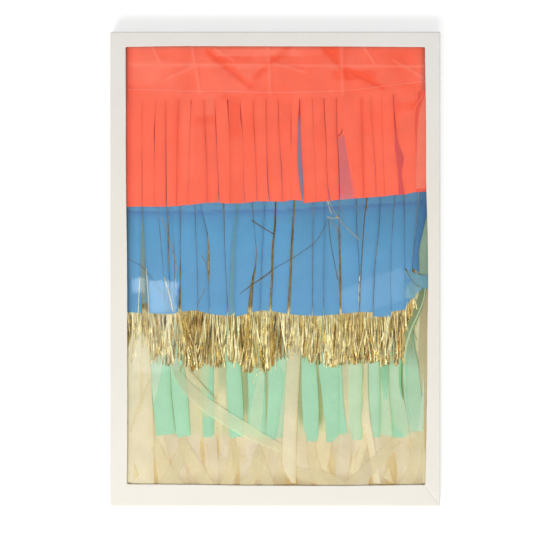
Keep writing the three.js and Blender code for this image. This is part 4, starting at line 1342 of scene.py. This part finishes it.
def window_outline(margin, rough=0.1):
    """The window's edge, wavering as the photo shows and rough where the card is cut."""
    low = (lid_low[0] + LEFT_RAIL, lid_low[1] + BOTTOM_RAIL)
    high = (lid_high[0] - RIGHT_RAIL, lid_high[1] - TOP_RAIL)
    x, y = outline(low, high, -margin, 1.0).T
    middle_x, half_x = (x.max() + x.min()) / 2, (x.max() - x.min()) / 2
    middle_y, half_y = (y.max() + y.min()) / 2, (y.max() - y.min()) / 2
    off_x = np.where(x < 0, curve(y, *LEFT_OFF), curve(y, *RIGHT_OFF)) * np.abs((x - middle_x) / half_x) ** 6
    off_y = np.where(y < 0, curve(x, *FOOT_OFF), curve(x, *TOP_OFF)) * np.abs((y - middle_y) / half_y) ** 6
    rough_x, rough_y = rough * roughly(x, y, 5, 7.5), rough * roughly(x, y, 5, 9.5)
    return np.stack([x + off_x + rough_x, y + off_y + rough_y], axis=-1)


def lid_outline(inset):
    return outline(lid_low, lid_high, inset, LID_FOLD - inset)


def tray_outline(inset):
    return outline(tray_low, tray_high, inset, TRAY_FOLD - inset)


def rounded_fold(shape, fold, z, side, angles):
    """Rows round a folded edge, where a level face at z turns into a wall above it or below."""
    return [at_height(shape(fold * (1 - math.sin(a))), z + side * fold * (1 - math.cos(a))) for a in angles]


def lid_dent(x, y):
    """How far the lid's face lies below its highest level: faint waves and a crease at one corner."""
    waves = 0.07 * (1 + roughly(x, y, 55, 3.5)) / 2
    crease = 0.22 * ridge(x, y, (108.5, -156), (119, -171), 1.0) ** 2
    return waves + crease


def lid_rows():
    """The lid's shell: the window's cut edge, the face, the fold, the walls' two sides, the underside."""
    top, foot = lid_high[2], lid_low[2]
    under = top - CARD_THICK
    rows = [at_height(window_outline(margin), under + up) for margin, up in CUT_UNDER]
    rows += [at_height(window_outline(margin), top - down) for margin, down in CUT_OVER]
    eased, fold_line = window_outline(0.22), lid_outline(LID_FOLD)
    rows += [at_height(eased + (fold_line - eased) * share, top) for share in np.linspace(0, 1, 15) ** 1.2]
    rows += rounded_fold(lid_outline, LID_FOLD, top, -1, QUARTER_TURN[1:])
    rows += [at_height(lid_outline(0), z) for z in np.linspace(top - LID_FOLD, foot + 0.15, 9)[1:]]
    rows += [at_height(lid_outline(inset), foot + 0.02) for inset in (0.12, CARD_THICK - 0.12)]
    rows += [at_height(lid_outline(CARD_THICK), z) for z in np.linspace(foot + 0.15, under - 0.5, 4)]
    rows.append(at_height(lid_outline(CARD_THICK + 0.15), under - 0.15))
    inner, window = lid_outline(CARD_THICK + 0.5), window_outline(CUT_UNDER[0][0])
    rows += [at_height(inner + (window - inner) * share, under) for share in (0, 0.33, 0.66, 1)]
    return rows


def make_lid():
    cloth = Cloth("window_lid", [white_card])
    grid = close_ring(lid_rows())
    x, y, z = grid[..., 0], grid[..., 1], grid[..., 2]
    dent = lid_dent(x, y) * smooth((119.5 - np.abs(x)) / 2)
    grid[..., 2] = z - np.where(z > lid_high[2] - 0.2, dent, 0)
    tints = np.ones(grid.shape)
    on_foot = y[:3, :, None] < lid_low[1] + BOTTOM_RAIL + 2
    on_side = np.abs(x[:3, :, None]) > 106
    tints[:3] = np.where(on_foot, CUT_FOOT, np.where(on_side, CUT_SIDE, CUT_TOP))
    # Painted light: the card is a little lighter and bluer towards the top and the right
    up, right = smooth((y[..., None] - 40) / 110), smooth(x[..., None] / 100)
    tints = tints * (1 + up * (np.array((0.01, 0.012, 0.06)) + right * np.array((0.015, 0.03, 0.035))))
    cloth.grid(grid, tints)
    return merged(cloth.make())


def make_tray():
    cloth = Cloth("card_tray", [white_card])
    top = tray_high[2]
    rows = [at_height(tray_outline(inset), 0) for inset in (60, 30, 12, 5, 2)]
    rows += rounded_fold(tray_outline, TRAY_FOLD, 0, 1, np.linspace(0, math.pi / 2, 6))
    rows += [at_height(tray_outline(0), z) for z in np.linspace(TRAY_FOLD, top - 0.15, 6)[1:]]
    rows += [at_height(tray_outline(inset), top - 0.02) for inset in (0.12, CARD_THICK - 0.12)]
    rows += [at_height(tray_outline(CARD_THICK), z) for z in np.linspace(top - 0.15, CARD_THICK + 0.4, 5)]
    rows.append(at_height(tray_outline(CARD_THICK + 0.1), CARD_THICK + 0.1))
    rows += [at_height(tray_outline(inset), CARD_THICK) for inset in (1, 5, 12, 30, 60)]
    cloth.grid(close_ring(rows))
    return merged(cloth.make(), closed=True)


def make_film():
    cloth = Cloth("window_film_sheet", [film_clear])
    rim = window_outline(6, 0)
    middle = (film_low[:2] + film_high[:2]) / 2
    shares = np.linspace(0.02, 1, 40)
    upper, lower = film_high[2] - 0.02, film_low[2] + 0.02
    rows = [at_height(middle + (rim - middle) * share, upper) for share in shares]
    rows += [at_height(middle + (rim - middle) * share, lower) for share in shares[::-1]]
    cloth.grid(close_ring(rows))
    return merged(cloth.make())


# Stitches, tape and loose strands

STITCH_REACH, STITCH_GAP, STITCH_WIDTH = 1.5, 0.7, 0.5
# How far the stitches wander off their even line: places in X, and offsets in Y
STITCH_OFF = (
    (-107, -87, -55, -43, -6, 30, 51, 69, 81, 107),
    (1.6, 1.0, 0.0, 0.0, -0.9, -1.0, -0.8, 0.0, 0.8, 0.85),
)


def make_thread():
    """The line of stitches: short raised runs of thread with a gap between each and the next."""
    cloth = Cloth("stitching", [thread_cotton])
    t, around = np.linspace(0, 1, 9), np.linspace(0, 2 * math.pi, 9)
    swell = (np.sqrt(np.clip(1 - (2 * t - 1) ** 4, 0, 1)) + 0.05)[:, None] * STITCH_WIDTH / 2
    base = front_height(CORAL_SLOT, np.array(0.0), np.array(0.0))
    x = -FOLD_START + 3
    while x + STITCH_REACH < FREE_END - 3:
        xs = x + STITCH_REACH * t
        ys = HEADER_TOP - STITCH_DROP + stitch_climb(xs) + curve(xs, *STITCH_OFF) + 0.08 * np.sin(xs * 1.7)
        zs = base + header_relief(xs, ys) - 0.08 + 0.2 * np.sin(t * math.pi) ** 0.5
        y = ys[:, None] + swell * np.cos(around)
        z = np.minimum(zs[:, None] + swell * 0.55 * np.sin(around), STRAND_CEILING)
        cloth.grid(np.stack([np.broadcast_to(xs[:, None], y.shape), y, z], axis=-1))
        x += STITCH_REACH + STITCH_GAP
    return merged(cloth.make())


def make_tape():
    cloth = Cloth("woven_hanging_tape", [tape_cloth])
    top, foot = HEADER_TOP - tape_high[1], HEADER_TOP - tape_low[1]
    slots = BACK_SLOT / 2 + np.array([-0.5, -0.5, 0.5, 0.5, -0.5])
    drops = np.array([top, foot, foot, top, top])
    folded_grid(cloth, turn_samples(0, WHOLE_RUN, 6), slots[:, None], drops[:, None])
    return merged(cloth.make())


# Stray strands over the blue: path in X and Y, width and how bright, which paints how each turned strand
# reflects light
STRAYS = (
    (((38, 35.5), (31, 22), (17.5, 11), (-1, 0), (-12, -8), (-25.5, -18)), 0.28, 0.0),
    (((-17.5, 35.5), (-9, 30), (-1.5, 25.5)), 0.5, 0.0),
    (((94.5, 0.5), (97.9, -5.5), (101, -10), (104.7, -13)), 0.5, 0.03),
    (((-25.5, -18), (-17, -11.5), (-8, -6), (-3, -2)), 0.4, 0.05),
    (((39, 50), (45, 38), (53, 29), (61.5, 21)), 0.22, 0.5),
    (((37.5, 38.5), (41, 37), (47, 37.8)), 0.3, 0.65),
    (((38, 50), (39.5, 44), (41, 40)), 0.4, 0.9),
    (((-108, 8), (-97, 1.5), (-92, -4), (-84, -15), (-76, -26), (-73, -30.5)), 0.25, 0.0),
    (((-81, -6), (-78, -15), (-74.5, -31)), 0.5, 1.0),
    (((-98.6, -6), (-99.2, -18), (-99.8, -34)), 0.5, 1.1),
    (((-94.0, 0), (-93.2, -10), (-92.4, -22), (-92, -34)), 0.45, 1.0),
    (((61.4, -5), (61.2, -9)), 0.4, 1.1),
    (((61.1, -11), (60.8, -17)), 0.4, 1.1),
    (((60.8, -19), (60.9, -24)), 0.35, 1.0),
    (((-54, 10), (-51, 5), (-49.5, 0)), 0.3, 0.2),
    (((-51, -14), (-54, -20), (-57, -27.5)), 0.3, 0.2),
    (((-62.5, -73.8), (-52, -85), (-43, -95.3)), 0.35, 0.15),
    (((-13, -75.5), (-15, -80), (-17, -84.5)), 0.5, 1.1),
    (((-83, 38), (-78, 24), (-73.5, 8), (-71, -2)), 0.3, 0.4),
    (((38.5, 36), (40.5, 18), (43.5, 2), (45.5, -8)), 0.35, 0.02),
    (((39, 37), (45.5, 28), (47.5, 16)), 0.3, 0.3),
)


def make_strays():
    cloth = Cloth("loose_foil_strands", [gold_foil])
    chance = random.Random(SEED + 5)
    for path, width, tone in STRAYS:
        line = raised(BLUE_SLOT, [(x, y, 0.35) for x, y in path])
        ribbon(cloth, line, width, gold_tint(tone, chance), 0, 3, 1.0, 0.04)
    return cloth.make()


# Building and dressing. The strips of the fringes share their random draws, so this order stays

def dress(piece, body, node):
    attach(piece, body)
    if node is not None:
        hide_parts(node)
    return piece


dress(make_tray(), "tray", "base_tray")
dress(make_lid(), "lid", "lid_frame")
dress(make_film(), "lid", "window_film")
coral = dress(make_coral(), "garland", "coral_fringe")
blue = dress(make_blue(), "garland", "blue_fringe")
gold = dress(make_gold(), "garland", "gold_foil_fringe")
mint = dress(make_mint(), "garland", "mint_fringe")
cream = dress(make_cream(), "garland", "cream_fringe")
dress(make_tape(), "garland", "hanging_tape")
dress(make_thread(), "garland", "stitch_thread")
dress(make_strays(), "garland", None)


# Floor, light and camera

FLOOR_SIZE, FLOOR_LOW, FLOOR_GREY, FLOOR_GLOW = 6.0, 0.0002, 0.62, 0.6
AMBIENT, MIRRORED = 0.424, 0.8
KEY_PLACE, KEY_SIZE, KEY_POWER, KEY_COLOUR = (-0.3, -1.0, 1.45), (1.2, 0.8), 28.0, (1, 0.97, 0.925)
# The photo's frame: its side and the middle of the box in pixels, and millimetres to a pixel
PHOTO_SIDE, BOX_MIDDLE, PIXEL_MM = 538, 275.3, 0.7273
SENSOR_MM = 36
CAMERA_REACH, CLIP_END = 2.5, 20
CAMERA_X = (PHOTO_SIDE / 2 - BOX_MIDDLE) * PIXEL_MM * MM
GLARE_HEIGHT, GLARE_COLOUR = 2.0, (0.8, 0.92, 1)
# Soft boxes that show in the film: their picture's left, top, right and foot, turn in degrees and strength
GLARES = (
    (-105, -7.3, -94.8, -18.2, 0, 8.0),
    (-91, -8.7, -70.8, -31.3, 0, 9.0),
    (-105, -31, -71, -75, 0, 3.0),
    (47, -7, 97, -29, 19, 2.1),
)


def highest(tree, level, *values):
    for value in values:
        level = maths(tree, "MAXIMUM", level, value)
    return level


def make_floor():
    """A grey floor with the part's shadow, white where the camera or a mirror sees it."""
    bpy.ops.mesh.primitive_plane_add(size=FLOOR_SIZE, location=(0, 0, -FLOOR_LOW))
    floor = bpy.context.object
    floor.name = "studio_floor"
    material, tree = new_material("studio_floor")
    plain = add_node(tree, "ShaderNodeBsdfDiffuse", {"Color": (FLOOR_GREY, FLOOR_GREY, FLOOR_GREY, 1)})
    rays = add_node(tree, "ShaderNodeLightPath").outputs
    seen = highest(tree, rays["Is Camera Ray"], rays["Is Glossy Ray"], rays["Is Transmission Ray"])
    glow = add_node(tree, "ShaderNodeEmission", {"Strength": maths(tree, "MULTIPLY", seen, FLOOR_GLOW)})
    both = add_node(tree, "ShaderNodeAddShader", {0: plain.outputs["BSDF"], 1: glow.outputs["Emission"]})
    finished(tree, both.outputs["Shader"])
    floor.data.materials.append(material)


def make_world():
    """White where the camera sees it, a little darker in mirrors, and an even dim light on the part."""
    world = bpy.data.worlds.new("studio")
    bpy.context.scene.world = world
    world.use_nodes = True
    tree = world.node_tree
    tree.nodes.clear()
    rays = add_node(tree, "ShaderNodeLightPath").outputs
    mirror = maths(tree, "MULTIPLY", rays["Is Glossy Ray"], MIRRORED)
    level = highest(tree, mirror, rays["Is Camera Ray"], rays["Is Transmission Ray"], AMBIENT)
    background = add_node(tree, "ShaderNodeBackground", {"Color": (1, 1, 1, 1), "Strength": level})
    finished(tree, background.outputs["Background"], "ShaderNodeOutputWorld")


def area_lamp(name, place, target, size, power, colour):
    data = bpy.data.lights.new(name, "AREA")
    data.shape = "RECTANGLE"
    data.size, data.size_y = size
    data.energy = power
    data.color = colour
    lamp = bpy.data.objects.new(name, data)
    lamp.location = place
    lamp.rotation_euler = (Vector(target) - Vector(place)).to_track_quat("-Z", "Y").to_euler()
    lamp.visible_camera = False
    bpy.context.scene.collection.objects.link(lamp)
    return lamp


def glare(number, left, top, right, foot, turn, strength):
    """A small lamp beside the camera, placed so that the film mirrors it at the given place."""
    film = film_high[2] * MM
    ratio = (GLARE_HEIGHT - film) / (lid_high[2] * MM + CAMERA_REACH - film)
    middle_x, middle_y = (left + right) / 2 * MM, (top + foot) / 2 * MM
    size = ((right - left) * MM * (1 + ratio), (top - foot) * MM * (1 + ratio))
    place = (middle_x + (middle_x - CAMERA_X) * ratio, middle_y * (1 + ratio), GLARE_HEIGHT)
    power = strength * math.pi * size[0] * size[1]
    lamp = area_lamp(f"film_glare_{number}", place, (place[0], place[1], 0), size, power, GLARE_COLOUR)
    lamp.rotation_euler = (0, 0, math.radians(turn))


def make_camera():
    data = bpy.data.cameras.new("camera")
    data.sensor_width = SENSOR_MM
    data.lens = SENSOR_MM * CAMERA_REACH / (PHOTO_SIDE * PIXEL_MM * MM)
    data.clip_end = CLIP_END
    camera = bpy.data.objects.new("camera", data)
    camera.location = (CAMERA_X, 0, lid_high[2] * MM + CAMERA_REACH)
    bpy.context.scene.collection.objects.link(camera)
    bpy.context.scene.camera = camera


make_floor()
make_world()
area_lamp("key", KEY_PLACE, (0, 0, 0), KEY_SIZE, KEY_POWER, KEY_COLOUR)
for number, shape in enumerate(GLARES):
    glare(number, *shape)
make_camera()
bpy.context.scene.view_settings.view_transform = "Standard"
